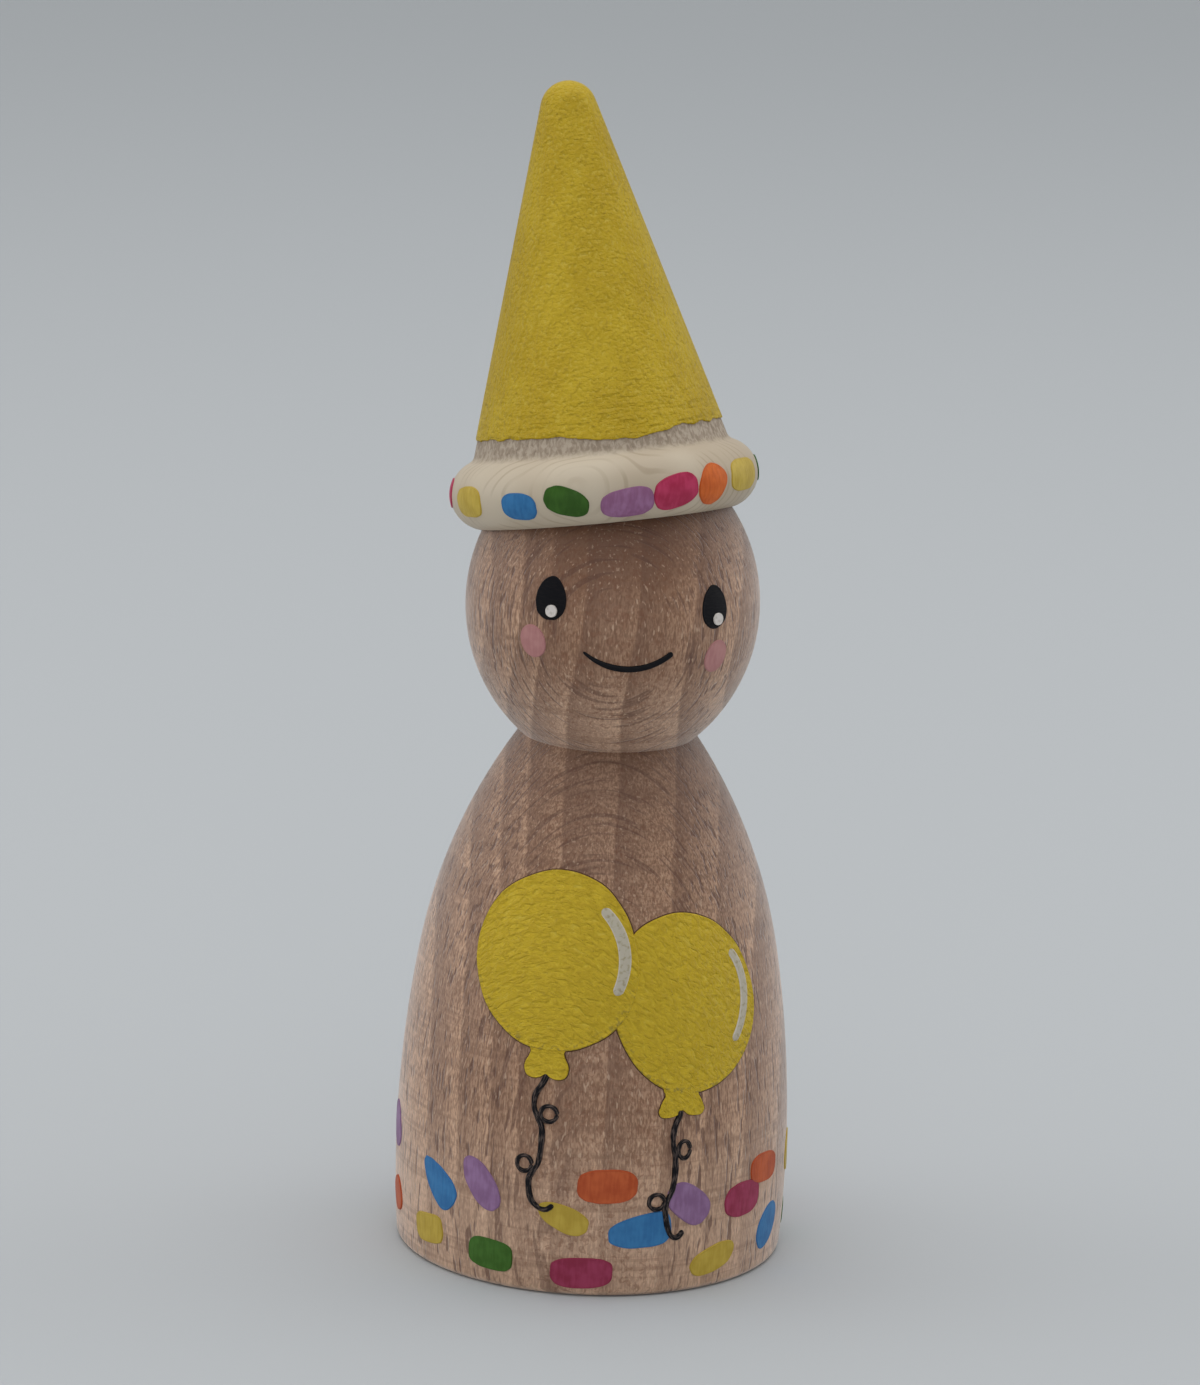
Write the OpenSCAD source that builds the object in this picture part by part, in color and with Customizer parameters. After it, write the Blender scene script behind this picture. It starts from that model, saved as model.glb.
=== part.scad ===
// Peg doll: one turned wooden figure with a turned cone hat laid on its head.
// Every painted mark is a thin coat of its own that follows the wood beneath it.
// The base stands on z = 0, the doll looks along -Y, and left and right are as seen from the front.

/* [Figure] */
// Widest radius of the body
belly_r = 15; // [14:0.5:17]
// Height of the widest part of the body
belly_z = 7.3; // [6:0.1:8.5]
// Radius of the long arc down the side of the body
side_arc_r = 93; // [80:1:110]
// Height at which the side arc runs into the shoulder arc
shoulder_z = 23; // [20:0.5:25]
// Height of the body up to the groove at the neck
body_h = 40.1; // [37:0.1:44]
// Radius at the bottom of the neck groove
neck_r = 6.65; // [6:0.05:7.5]
// Rounding of the edge round the base
base_edge_r = 0.6; // [0.3:0.1:1]
// Widest radius of the head
head_r = 11.1; // [10.7:0.1:11.8]
// Radius of the arc down the side of the head
head_arc_r = 13.3; // [12.5:0.1:14.5]
// Radius of the ball that the crown of the head is part of
crown_r = 10.6; // [10:0.1:11]

/* [Hat] */
// Height of the hat from the lower plane of the brim to the tip
hat_h = 32.8; // [28:0.1:38]
// Largest radius of the brim
brim_r = 11.6; // [11.2:0.1:13]
// Radius of the brim's round section
bead_r = 2.65; // [2.3:0.05:3]
// Radius of the cone at half the height of the brim
cone_foot_r = 10.4; // [9.8:0.1:11]
// Radius of the rounded tip
tip_r = 2; // [1:0.1:3]
// Depth of the dish under the hat
dish_depth = 6.1; // [5.2:0.1:7]
// Gap between the dish and the head at the lowest side of the brim
seat_gap = 0.2; // [0.15:0.05:0.5]
// Angle by which the hat leans over
hat_lean = 12; // [0:1:15]
// Direction of the lean, turned from the front towards the right
hat_lean_turn = -148; // [-180:1:180]

/* [Paint] */
// Thickness of one coat of paint
coat_t = 0.15; // [0.1:0.01:0.25]
// Gap between a coat and what lies under or beside it
coat_gap = 0.02; // [0.01:0.01:0.03]
// Width of a drawn line
line_w = 0.42; // [0.3:0.02:0.6]
// Height of the lower edge of the hat's coat above the lower plane of the brim
hat_coat_z = 6.85; // [6.2:0.05:9]
// How far the coat's edge dips at the front
coat_dip = 0.6; // [0.2:0.1:0.6]
// Width of that dip
coat_dip_w = 9; // [4:0.5:12]
// Turn of the middle of the dip
coat_dip_turn = 4; // [-20:1:20]

/* [Face] */
// Height of an eye
eye_h = 3.1; // [2.4:0.1:3.6]
// Width of an eye
eye_w = 2.4; // [1.8:0.1:3]
// Turn of the left eye from the front
left_eye_turn = -33; // [-40:1:-25]
// Height of the left eye above the widest line of the head
left_eye_up = 2.4; // [1.8:0.1:3]
// Turn of the right eye from the front
right_eye_turn = 35.5; // [25:0.5:40]
// Height of the right eye above the widest line of the head
right_eye_up = 1.8; // [1.4:0.1:3]
// Radius of the white glint in an eye
glint_r = 0.46; // [0.3:0.02:0.6]
// How far a glint sits below the middle of its eye
glint_drop = 0.88; // [0.6:0.02:1]
// Turn of a glint from the middle of its eye
glint_turn = 1; // [0:0.5:3]
// Length of a cheek spot
cheek_l = 2.45; // [1.8:0.05:2.8]
// Width of a cheek spot
cheek_w = 2.1; // [1.6:0.1:2.6]
// Turn of the left cheek from the front
left_cheek_turn = -39.7; // [-48:0.1:-35]
// How far the left cheek sits below the widest line of the head
left_cheek_down = 0.95; // [0.8:0.05:2]
// Turn of the right cheek from the front
right_cheek_turn = 37.2; // [33:0.1:48]
// How far the right cheek sits below the widest line of the head
right_cheek_down = 1.95; // [1.5:0.05:3]
// Radius of the smile's arc
smile_r = 5.15; // [4.5:0.05:6]
// Angle that the smile's arc spans
smile_sweep = 80; // [60:1:90]
// Turn of the middle of the smile
smile_turn = -1.2; // [-5:0.1:5]
// How far the lowest point of the smile lies below the widest line of the head
smile_down = 2.5; // [2:0.1:3.5]

/* [Balloons] */
// Height of the left balloon
left_balloon_h = 13.1; // [11:0.1:14]
// Width of the left balloon
left_balloon_w = 12.3; // [10.5:0.1:13.5]
// Height of the left balloon's middle
left_balloon_z = 25.3; // [24:0.1:27]
// Turn of the left balloon from the front
left_balloon_turn = -23.2; // [-30:0.1:-20]
// Height of the right balloon
right_balloon_h = 13.5; // [11.5:0.1:14.5]
// Width of the right balloon
right_balloon_w = 12; // [10:0.1:13]
// Height of the right balloon's middle
right_balloon_z = 22.4; // [21:0.1:24]
// Turn of the right balloon from the front
right_balloon_turn = 22.4; // [18:0.1:28]
// Width of the left balloon's knot
left_knot_w = 3.4; // [2.8:0.1:4]
// Height of the left knot below its balloon
left_knot_h = 2; // [1.6:0.1:2.8]
// Width of the right balloon's knot
right_knot_w = 3.8; // [2.8:0.1:4]
// Height of the right knot below its balloon
right_knot_h = 1.7; // [1.4:0.1:2.6]
// Width of the white shine on the left balloon
left_shine_w = 0.95; // [0.6:0.05:1.1]
// Width of the white shine on the right balloon
right_shine_w = 0.8; // [0.5:0.05:1]
// How far a shine keeps from the balloon's side edge
shine_inset = 0.85; // [0.7:0.05:1.4]
// Length of the fall of the left string
left_string_h = 10.4; // [9:0.1:11]
// Length of the fall of the right string
right_string_h = 9.95; // [8.5:0.05:10.5]
// Radius of a loop in a string, at the middle of the line
string_loop_r = 0.6; // [0.5:0.01:0.7]
// Width of the finer line of a loop
loop_line_w = 0.32; // [0.26:0.02:0.42]

/* [Confetti] */
// Height of the band of confetti on the body
confetti_h = 10; // [9:0.1:11]
// Length of a common confetti dab on the body
body_dab_l = 4; // [3.4:0.1:4.4]
// Width of a common confetti dab on the body
body_dab_w = 2.4; // [1.8:0.1:2.8]
// Length of a common confetti dab on the brim
brim_dab_l = 3.6; // [3:0.1:4]
// Width of a common confetti dab on the brim
brim_dab_w = 2.2; // [1.8:0.1:2.6]

/* [Hidden] */
$fn = 96;

// Colours of the wood and the paint
figure_wood = [0.72, 0.56, 0.44];
hat_wood = [0.87, 0.82, 0.70];
sun_yellow = [0.90, 0.77, 0.16];
ink = [0.10, 0.09, 0.10];
chalk_white = [0.93, 0.92, 0.88];
cheek_pink = [0.85, 0.56, 0.55];

// Order of the confetti colours
BLUE = 0;
LILAC = 1;
YELLOW = 2;
GREEN = 3;
MAGENTA = 4;
ORANGE = 5;
confetti_paint = [
  [0.20, 0.55, 0.82],
  [0.66, 0.49, 0.75],
  [0.92, 0.80, 0.34],
  [0.20, 0.48, 0.13],
  [0.74, 0.17, 0.40],
  [0.88, 0.42, 0.18]
];

// Arcs of the body: the rounded base edge, the long side and the shoulder run into each other
side_centre = [belly_r - side_arc_r, belly_z];
side_start = asin((base_edge_r - belly_z) / (side_arc_r - base_edge_r));
base_edge_centre = side_centre + (side_arc_r - base_edge_r) * [cos(side_start), sin(side_start)];
shoulder_turn = asin((shoulder_z - belly_z) / side_arc_r);
shoulder_out = [cos(shoulder_turn), sin(shoulder_turn)];
shoulder_end = side_centre + side_arc_r * shoulder_out;
neck = [neck_r, body_h];
shoulder_arc_r = pow(norm(shoulder_end - neck), 2) / (2 * shoulder_out * (shoulder_end - neck));
shoulder_centre = shoulder_end - shoulder_arc_r * shoulder_out;
neck_turn = atan2(body_h - shoulder_centre[1], neck_r - shoulder_centre[0]);

// Arcs of the head: the side starts in the neck groove and runs into the round crown
head_cx = head_r - head_arc_r;
head_z = body_h + sqrt(pow(head_arc_r, 2) - pow(neck_r - head_cx, 2));
head_start = atan2(body_h - head_z, neck_r - head_cx);
crown_z = head_z + sqrt(pow(head_arc_r - crown_r, 2) - pow(head_cx, 2));
crown_turn = atan2(crown_z - head_z, -head_cx);

// Flank of the hat, which runs into the rounded tip
bead_cx = brim_r - bead_r;
tip_z = hat_h - tip_r;
flank_turn = acos(tip_r / norm([cone_foot_r, tip_z - bead_r])) - atan2(tip_z - bead_r, cone_foot_r);

// Dish of the hat: a hollow ball round the crown's centre that clears the side of the head
rim_turn = acos(1 - dish_depth / crown_r) + hat_lean;
rim_reach = head_cx * sin(rim_turn) - (crown_z - head_z) * cos(rim_turn);
head_reach = rim_reach + sqrt(pow(rim_reach, 2) + pow(head_arc_r, 2) - pow(head_arc_r - crown_r, 2));
dish_r = max(head_reach, crown_r) + seat_gap;
hat_seat = dish_r - dish_depth;

// How far a stencil reaches out from the axis, past the widest coat
stencil_l = belly_r + brim_r;
// How far a shape runs into the one that it joins
overrun = coat_t;
// Tops of a first coat and of a second coat laid on it
first_top = coat_gap + coat_t;
second_top = 2 * first_top;

// Steps along the arcs of the figure and the hat
edge_steps = 4;
side_steps = 10;
shoulder_steps = 12;
head_steps = 24;
crown_steps = 14;
tip_steps = 10;
// Steps round a dab and a balloon, along a drawn line and round its end
dab_steps = 20;
balloon_steps = 36;
line_steps = 12;
cap_steps = 4;
curve_steps = 3;
// How much fuller than an ellipse a dab is, and a balloon, an eye or a cheek
dab_fullness_share = 0.2;
balloon_fullness_share = 0.05;

// Lean and taper of the painted ovals
left_eye_tilt = 92;
right_eye_tilt = 88;
eye_taper_share = 0.12;
left_cheek_tilt = 110;
right_cheek_tilt = 75;
left_balloon_tilt = 15;
left_balloon_taper_share = -0.06;
right_balloon_tilt = 22;
right_balloon_taper_share = 0.07;

// Ends of the shines, as angles round their balloons
left_shine_turns = [-19, 48];
right_shine_turns = [-37, 37];

// Knot outline: places across, as shares of its width, and down, as shares of its height
knot_top_share = 0.36;
knot_sink_share = 0.35;
knot_waist_shares = [0.47, 0.35];
knot_lobe_shares = [0.27, 0.38];
knot_lobe_place_share = 0.25;
left_notch_share = 0.8;
right_notch_share = 0.7;
knot_lobe_start_turn = 180;
knot_lobe_end_turn = 300;
knot_lobe_steps = 6;
left_knot_turn = 0.9;
right_knot_turn = -3.5;

// Routes of the strings from the knot down, across and down as shares of the string's fall
left_string_shares = [
  [0.04, 0], [0.012, 0.07], [-0.036, 0.155], [-0.041, 0.25], [-0.01, 0.325], [0.023, 0.395],
  [0.026, 0.49], [0.019, 0.595], [0.005, 0.67], [-0.035, 0.735], [-0.055, 0.78], [-0.053, 0.855],
  [-0.033, 0.935], [0.016, 0.985], [0.079, 1], [0.133, 0.96]
];
right_string_shares = [
  [0.011, 0], [0, 0.045], [-0.023, 0.09], [-0.045, 0.165], [-0.049, 0.225], [-0.043, 0.28],
  [-0.028, 0.35], [-0.025, 0.45], [-0.03, 0.535], [-0.048, 0.625], [-0.079, 0.69], [-0.097, 0.755],
  [-0.089, 0.83], [-0.072, 0.905], [-0.046, 0.97], [-0.004, 1], [0.036, 0.98], [0.057, 0.945]
];
// Middles of the loops, across and down as shares of the string's fall
left_loop_shares = [[0.068, 0.291], [-0.095, 0.674]];
right_loop_shares = [[0.05, 0.309], [-0.166, 0.701]];
left_string_turn = -0.3;
right_string_turn = -4.4;
// Turn within which a string can cross a dab of confetti
string_span_turn = 35;

// Confetti on the body: colour, turn, height as a share of the band, length and width as
// shares of a common dab, tilt, taper. The front is as seen and the back goes on alike.
body_dab_shares = [
  [BLUE, -57.5, 0.695, 1.08, 1.04, -40, 0],
  [BLUE, 7.2, 0.52, 1.22, 1.06, 8, -0.15],
  [BLUE, 57.5, 0.34, 0.9, 1.14, 46, 0],
  [BLUE, 132, 0.71, 1.12, 1, -35, 0],
  [BLUE, 196, 0.3, 1.1, 1.04, 12, 0.1],
  [BLUE, 247, 0.8, 1, 0.96, 40, 0],
  [LILAC, -40.8, 0.785, 1.1, 1, -52, 0],
  [LILAC, 22.2, 0.71, 1, 1.08, -38, 0],
  [LILAC, -88.5, 0.92, 0.9, 1, -60, 0],
  [LILAC, 105, 0.45, 1.1, 1, 20, 0],
  [LILAC, 165, 0.76, 1.05, 1.04, -48, 0],
  [LILAC, 226, 0.27, 1.1, 1, 5, 0],
  [YELLOW, -61.8, 0.295, 0.86, 0.96, 8, 0],
  [YELLOW, -15.2, 0.615, 0.98, 0.83, -22, 0.1],
  [YELLOW, 31.4, 0.23, 1.03, 0.88, 15, -0.1],
  [YELLOW, 78, 0.79, 0.8, 1, 70, 0],
  [YELLOW, 149, 0.31, 1, 0.92, 18, 0],
  [YELLOW, 213, 0.77, 1, 0.9, -25, 0],
  [GREEN, -37.4, 0.25, 0.95, 1, -3, 0],
  [GREEN, 90, 0.24, 1, 1.04, 4, 0],
  [GREEN, 181, 0.66, 0.95, 1.04, 60, 0],
  [GREEN, 249, 0.41, 0.92, 1, -14, 0],
  [MAGENTA, -9.5, 0.19, 1.15, 1, 2, 0],
  [MAGENTA, 42.6, 0.65, 1, 1.12, 0, 0],
  [MAGENTA, 115, 0.79, 1.08, 1, 30, 0],
  [MAGENTA, 171, 0.2, 1.15, 1, -4, 0],
  [MAGENTA, 229, 0.62, 0.95, 1.08, -50, 0],
  [ORANGE, -2.9, 0.88, 1.12, 1.08, 2, 0],
  [ORANGE, 53.2, 0.835, 0.95, 0.96, -5, 0],
  [ORANGE, -85, 0.39, 0.66, 0.92, -60, 0],
  [ORANGE, 122, 0.24, 1.12, 1.04, 0, 0],
  [ORANGE, 198, 0.88, 1.08, 1.04, 8, 0]
];

// Confetti on the brim: colour, turn, height as a share of the brim's, length and width as
// shares of a common dab, tilt, taper. The front is as seen and the back goes on alike.
brim_dab_shares = [
  [YELLOW, -68.5, 0.462, 1, 1.04, 0, 0],
  [BLUE, -41.2, 0.368, 0.83, 0.91, -6, 0],
  [GREEN, -21.6, 0.387, 0.94, 0.95, -20, 0],
  [LILAC, 1, 0.302, 1.1, 0.95, 4, -0.1],
  [MAGENTA, 20.4, 0.387, 1.02, 1.12, 12, 0],
  [ORANGE, 37.2, 0.425, 0.83, 1.2, 60, 0],
  [YELLOW, 58, 0.49, 1.16, 1.08, 0, 0],
  [GREEN, 86, 0.52, 0.84, 0.9, 0, 0],
  [BLUE, 103, 0.42, 0.95, 1, -8, 0],
  [LILAC, 122, 0.36, 1.1, 0.95, 6, 0],
  [MAGENTA, 141, 0.44, 0.98, 1.08, -10, 0],
  [ORANGE, 158, 0.38, 0.9, 1.1, 20, 0],
  [YELLOW, 176, 0.45, 1.04, 1.04, 0, 0],
  [BLUE, 194, 0.37, 0.92, 0.95, 8, 0],
  [GREEN, 211.5, 0.43, 1, 0.98, -12, 0],
  [LILAC, 230.5, 0.38, 1.08, 0.95, 0, 0],
  [ORANGE, 248, 0.45, 0.86, 1.08, -20, 0],
  [MAGENTA, 264.5, 0.57, 0.84, 1, 0, 0]
];

// Points along an arc, without its last point and with it
function open_arc(centre, r, from, to, steps) = [
  for (i = [0 : steps - 1])
    let (a = from + i * (to - from) / steps)
    centre + r * [cos(a), sin(a)]
];
function arc(centre, r, from, to, steps) = concat(
  open_arc(centre, r, from, to, steps),
  [centre + r * [cos(to), sin(to)]]
);
function reversed(p) = [for (i = [len(p) - 1 : -1 : 0]) p[i]];

// Side of the body, side of the head and flank of the hat, each grown by a coat
function body_side(grow) = concat(
  open_arc(side_centre, side_arc_r + grow, side_start, shoulder_turn, side_steps),
  arc(shoulder_centre, shoulder_arc_r + grow, shoulder_turn, neck_turn, shoulder_steps)
);
function head_side(grow) = arc([head_cx, head_z], head_arc_r + grow, head_start, crown_turn, head_steps);
function hat_flank(grow) = concat(
  [[cone_foot_r + grow / cos(flank_turn), bead_r]],
  arc([0, tip_z], tip_r + grow, flank_turn, 90, tip_steps)
);

// Points on a full oval, turned by tilt and narrowed towards one end by taper
function bent(a, fullness) = sign(a) * pow(abs(a), 1 / (1 + fullness));
function turned(p, tilt) = [p[0] * cos(tilt) - p[1] * sin(tilt), p[0] * sin(tilt) + p[1] * cos(tilt)];
function oval(l, w, tilt, taper, fullness, steps) = [
  for (i = [0 : steps - 1])
    let (c = bent(cos(i * 360 / steps), fullness), s = bent(sin(i * 360 / steps), fullness))
    turned([l / 2 * c, w / 2 * s * (1 - taper * c)], tilt)
];

// Smooth curve through a list of points, with its end points doubled
function near(p, i) = p[max(0, min(len(p) - 1, i))];
function blended(a, b, c, d, t) =
  b
  + t * (c - a) / 2
  + pow(t, 2) * (a - 2.5 * b + 2 * c - d / 2)
  + pow(t, 3) * (1.5 * (b - c) + (d - a) / 2);
function curve(p) = [
  for (i = [0 : len(p) - 2], j = [0 : curve_steps - 1])
    blended(near(p, i - 1), p[i], p[i + 1], near(p, i + 2), j / curve_steps),
  p[len(p) - 1]
];

// Outline of a drawn line along a list of points, with round ends
function heading(p, i) =
  let (way = near(p, i + 1) - near(p, i - 1))
  atan2(way[1], way[0]);
function beside(p, i, w, side) = p[i] + w / 2 * side * [-sin(heading(p, i)), cos(heading(p, i))];
function cap(p, i, w, start) = [
  for (k = [1 : cap_steps - 1])
    let (a = heading(p, i) + start + k * 180 / cap_steps)
    p[i] + w / 2 * [cos(a), sin(a)]
];
function stroke(p, w) = concat(
  [for (i = [0 : len(p) - 1]) beside(p, i, w, -1)],
  cap(p, len(p) - 1, w, -90),
  [for (i = [len(p) - 1 : -1 : 0]) beside(p, i, w, 1)],
  cap(p, 0, w, 90)
);

// Outline of a knot hanging from its balloon: waist, two round lobes and the notch between
function lobe(w, h, side) = [
  for (i = [0 : knot_lobe_steps])
    let (a = knot_lobe_start_turn + i * (knot_lobe_end_turn - knot_lobe_start_turn) / knot_lobe_steps)
    [
      side * w * (knot_lobe_shares[0] * cos(a) - knot_lobe_place_share),
      h * (knot_lobe_shares[1] * (1 + sin(a)) - 1)
    ]
];
function knot(w, h, notch_share) = concat(
  [
    [-knot_top_share * w, knot_sink_share * h],
    [-knot_top_share * w, 0],
    [-knot_waist_shares[0] * w, -knot_waist_shares[1] * h]
  ],
  lobe(w, h, 1),
  [[0, -notch_share * h]],
  reversed(lobe(w, h, -1)),
  [
    [knot_waist_shares[0] * w, -knot_waist_shares[1] * h],
    [knot_top_share * w, 0],
    [knot_top_share * w, knot_sink_share * h]
  ]
);

// A coat of paint round the axis, between an outer and an inner line
module coat(outer, inner) {
  rotate_extrude()
    polygon(concat(outer, reversed(inner)));
}

// The coats on the body, the head and the brim, from one depth to another
module body_coat(from, to) {
  coat(body_side(to), body_side(from));
}

module head_coat(from, to) {
  coat(head_side(to), head_side(from));
}

module brim_coat(from, to) {
  rotate_extrude()
    translate([bead_cx, bead_r])
      intersection() {
        difference() {
          circle(r = bead_r + to);
          circle(r = bead_r + from);
        }
        translate([0, -stencil_l / 2])
          square(stencil_l);
      }
}

// A flat outline pushed outwards from the axis at a height and a turn
module stencil(turn, height) {
  rotate([0, 0, turn])
    translate([0, 0, height])
      rotate([90, 0, 0])
        linear_extrude(stencil_l)
          children();
}

// Places its children in the frame of the hat, which leans over about the crown's centre
module on_hat() {
  translate([0, 0, crown_z])
    rotate([0, 0, hat_lean_turn])
      rotate([hat_lean, 0, 0])
        rotate([0, 0, -hat_lean_turn])
          translate([0, 0, hat_seat])
            children();
}

// The turned wooden figure: body, neck groove and head in one piece
module figure() {
  base_edge = open_arc(base_edge_centre, base_edge_r, -90, side_start, edge_steps);
  body = body_side(0);
  head = head_side(0);
  crown = arc([0, crown_z], crown_r, crown_turn, 90, crown_steps);
  color(figure_wood)
    rotate_extrude()
      polygon(concat(
        [[0, 0]],
        base_edge,
        [for (i = [0 : len(body) - 2]) body[i]],
        [for (i = [0 : len(head) - 2]) head[i]],
        crown
      ));
}

// The turned wooden hat: cone, round brim and the dish that sits on the head
module hat() {
  color(hat_wood)
    on_hat()
      difference() {
        rotate_extrude() {
          intersection() {
            translate([bead_cx, bead_r])
              circle(r = bead_r);
            square([brim_r, 2 * bead_r]);
          }
          square([bead_cx, bead_r]);
          polygon(concat([[0, bead_r]], hat_flank(0)));
        }
        translate([0, 0, -hat_seat])
          sphere(r = dish_r);
      }
}

// Yellow coat over the cone, with a lower edge that dips at the front
module hat_coat() {
  dip = [
    for (i = [0 : line_steps])
      let (a = i * 180 / line_steps - 90)
      [a / 180 * coat_dip_w, -coat_dip * cos(a)]
  ];
  color(sun_yellow)
    on_hat()
      intersection() {
        coat(hat_flank(first_top), hat_flank(coat_gap));
        union() {
          translate([0, 0, hat_coat_z])
            cylinder(r = stencil_l, h = hat_h);
          stencil(coat_dip_turn, hat_coat_z)
            polygon(concat(dip, [[coat_dip_w / 2, overrun], [-coat_dip_w / 2, overrun]]));
        }
      }
}

// A black oval eye
module eye(turn, up, tilt) {
  color(ink)
    intersection() {
      head_coat(coat_gap, first_top);
      stencil(turn, head_z + up)
        polygon(oval(eye_h, eye_w, tilt, eye_taper_share, balloon_fullness_share, dab_steps));
    }
}

// The white glint laid over an eye
module glint(turn, up) {
  color(chalk_white)
    intersection() {
      head_coat(first_top + coat_gap, second_top);
      stencil(turn + glint_turn, head_z + up - glint_drop)
        circle(r = glint_r);
    }
}

// A pink spot on a cheek
module cheek(turn, down, tilt) {
  color(cheek_pink)
    intersection() {
      head_coat(coat_gap, first_top);
      stencil(turn, head_z - down)
        polygon(oval(cheek_l, cheek_w, tilt, 0, balloon_fullness_share, dab_steps));
    }
}

// The smile, a drawn arc
module smile() {
  line = arc([0, 0], smile_r, -90 - smile_sweep / 2, -90 + smile_sweep / 2, line_steps);
  color(ink)
    intersection() {
      head_coat(coat_gap, first_top);
      stencil(smile_turn, head_z - smile_down + smile_r)
        polygon(stroke(line, line_w));
    }
}

// Stencils of the two balloons with their knots, grown by an edge gap
module left_balloon_stencil(grow) {
  stencil(left_balloon_turn, left_balloon_z)
    polygon(oval(
      left_balloon_w + 2 * grow, left_balloon_h + 2 * grow,
      left_balloon_tilt, left_balloon_taper_share, balloon_fullness_share, balloon_steps
    ));
  stencil(left_balloon_turn + left_knot_turn, left_balloon_z - left_balloon_h / 2)
    polygon(knot(left_knot_w, left_knot_h, left_notch_share));
}

module right_balloon_stencil(grow) {
  stencil(right_balloon_turn, right_balloon_z)
    polygon(oval(
      right_balloon_h + 2 * grow, right_balloon_w + 2 * grow,
      90 + right_balloon_tilt, right_balloon_taper_share, balloon_fullness_share, balloon_steps
    ));
  stencil(right_balloon_turn + right_knot_turn, right_balloon_z - right_balloon_h / 2)
    polygon(knot(right_knot_w, right_knot_h, right_notch_share));
}

// The left balloon lies whole, and the right one stops at its edge
module left_balloon() {
  color(sun_yellow)
    intersection() {
      body_coat(coat_gap, first_top);
      left_balloon_stencil(0);
    }
}

module right_balloon() {
  color(sun_yellow)
    difference() {
      intersection() {
        body_coat(coat_gap, first_top);
        right_balloon_stencil(0);
      }
      left_balloon_stencil(coat_gap);
    }
}

// The white shine down the right of a balloon, laid over its paint
module balloon_shine(turn, height, width, turns, shine_w) {
  line = arc([0, 0], width / 2 - shine_inset, turns[0], turns[1], line_steps);
  color(chalk_white)
    intersection() {
      body_coat(first_top + coat_gap, second_top);
      stencil(turn, height)
        polygon(stroke(line, shine_w));
    }
}

// A curled string: a drawn line with two loops beside it, which runs over what is painted under it
module string(turn, height, fall, route_shares, loop_shares) {
  line = curve([for (p = route_shares) fall * [p[0], -p[1]]]);
  color(ink)
    difference() {
      intersection() {
        body_coat(coat_gap, second_top);
        stencil(turn, height) {
          polygon(stroke(line, line_w));
          for (p = loop_shares)
            translate(fall * [p[0], -p[1]])
              difference() {
                circle(r = string_loop_r + loop_line_w / 2);
                circle(r = string_loop_r - loop_line_w / 2);
              }
        }
      }
      intersection() {
        body_coat(0, first_top + coat_gap);
        union() {
          left_balloon_stencil(coat_gap);
          right_balloon_stencil(coat_gap);
          for (d = body_dab_shares)
            if (abs(d[1] - turn) < string_span_turn)
              body_dab(d, coat_gap);
        }
      }
    }
}

module left_string() {
  knot_z = left_balloon_z - left_balloon_h / 2 - left_notch_share * left_knot_h;
  turn = left_balloon_turn + left_string_turn;
  string(turn, knot_z, left_string_h, left_string_shares, left_loop_shares);
}

module right_string() {
  knot_z = right_balloon_z - right_balloon_h / 2 - right_notch_share * right_knot_h;
  turn = right_balloon_turn + right_string_turn;
  string(turn, knot_z, right_string_h, right_string_shares, right_loop_shares);
}

// One dab of confetti as a stencil, on the body and on the brim
module dab_shape(d, l, w, grow) {
  polygon(oval(d[3] * l + 2 * grow, d[4] * w + 2 * grow, d[5], d[6], dab_fullness_share, dab_steps));
}

module body_dab(d, grow) {
  stencil(d[1], d[2] * confetti_h)
    dab_shape(d, body_dab_l, body_dab_w, grow);
}

module brim_dab(d, grow) {
  stencil(d[1], d[2] * 2 * bead_r)
    dab_shape(d, brim_dab_l, brim_dab_w, grow);
}

// All confetti of one colour, which stops short of the colours laid before it
module body_confetti(colour) {
  color(confetti_paint[colour])
    difference() {
      intersection() {
        body_coat(coat_gap, first_top);
        for (d = body_dab_shares)
          if (d[0] == colour)
            body_dab(d, 0);
      }
      for (d = body_dab_shares)
        if (d[0] < colour)
          body_dab(d, coat_gap);
    }
}

module brim_confetti(colour) {
  color(confetti_paint[colour])
    on_hat()
      difference() {
        intersection() {
          brim_coat(coat_gap, first_top);
          for (d = brim_dab_shares)
            if (d[0] == colour)
              brim_dab(d, 0);
        }
        for (d = brim_dab_shares)
          if (d[0] < colour)
            brim_dab(d, coat_gap);
      }
}

figure();
hat();
hat_coat();
eye(left_eye_turn, left_eye_up, left_eye_tilt);  // left_eye
eye(right_eye_turn, right_eye_up, right_eye_tilt);  // right_eye
glint(left_eye_turn, left_eye_up);  // left_eye_glint
glint(right_eye_turn, right_eye_up);  // right_eye_glint
cheek(left_cheek_turn, left_cheek_down, left_cheek_tilt);  // left_cheek
cheek(right_cheek_turn, right_cheek_down, right_cheek_tilt);  // right_cheek
smile();
left_balloon();
right_balloon();
balloon_shine(left_balloon_turn, left_balloon_z, left_balloon_w, left_shine_turns, left_shine_w);  // left_balloon_shine
balloon_shine(right_balloon_turn, right_balloon_z, right_balloon_w, right_shine_turns, right_shine_w);  // right_balloon_shine
left_string();
right_string();
body_confetti(BLUE);  // blue_body_confetti
body_confetti(LILAC);  // lilac_body_confetti
body_confetti(YELLOW);  // yellow_body_confetti
body_confetti(GREEN);  // green_body_confetti
body_confetti(MAGENTA);  // magenta_body_confetti
body_confetti(ORANGE);  // orange_body_confetti
brim_confetti(BLUE);  // blue_brim_confetti
brim_confetti(LILAC);  // lilac_brim_confetti
brim_confetti(YELLOW);  // yellow_brim_confetti
brim_confetti(GREEN);  // green_brim_confetti
brim_confetti(MAGENTA);  // magenta_brim_confetti
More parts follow.
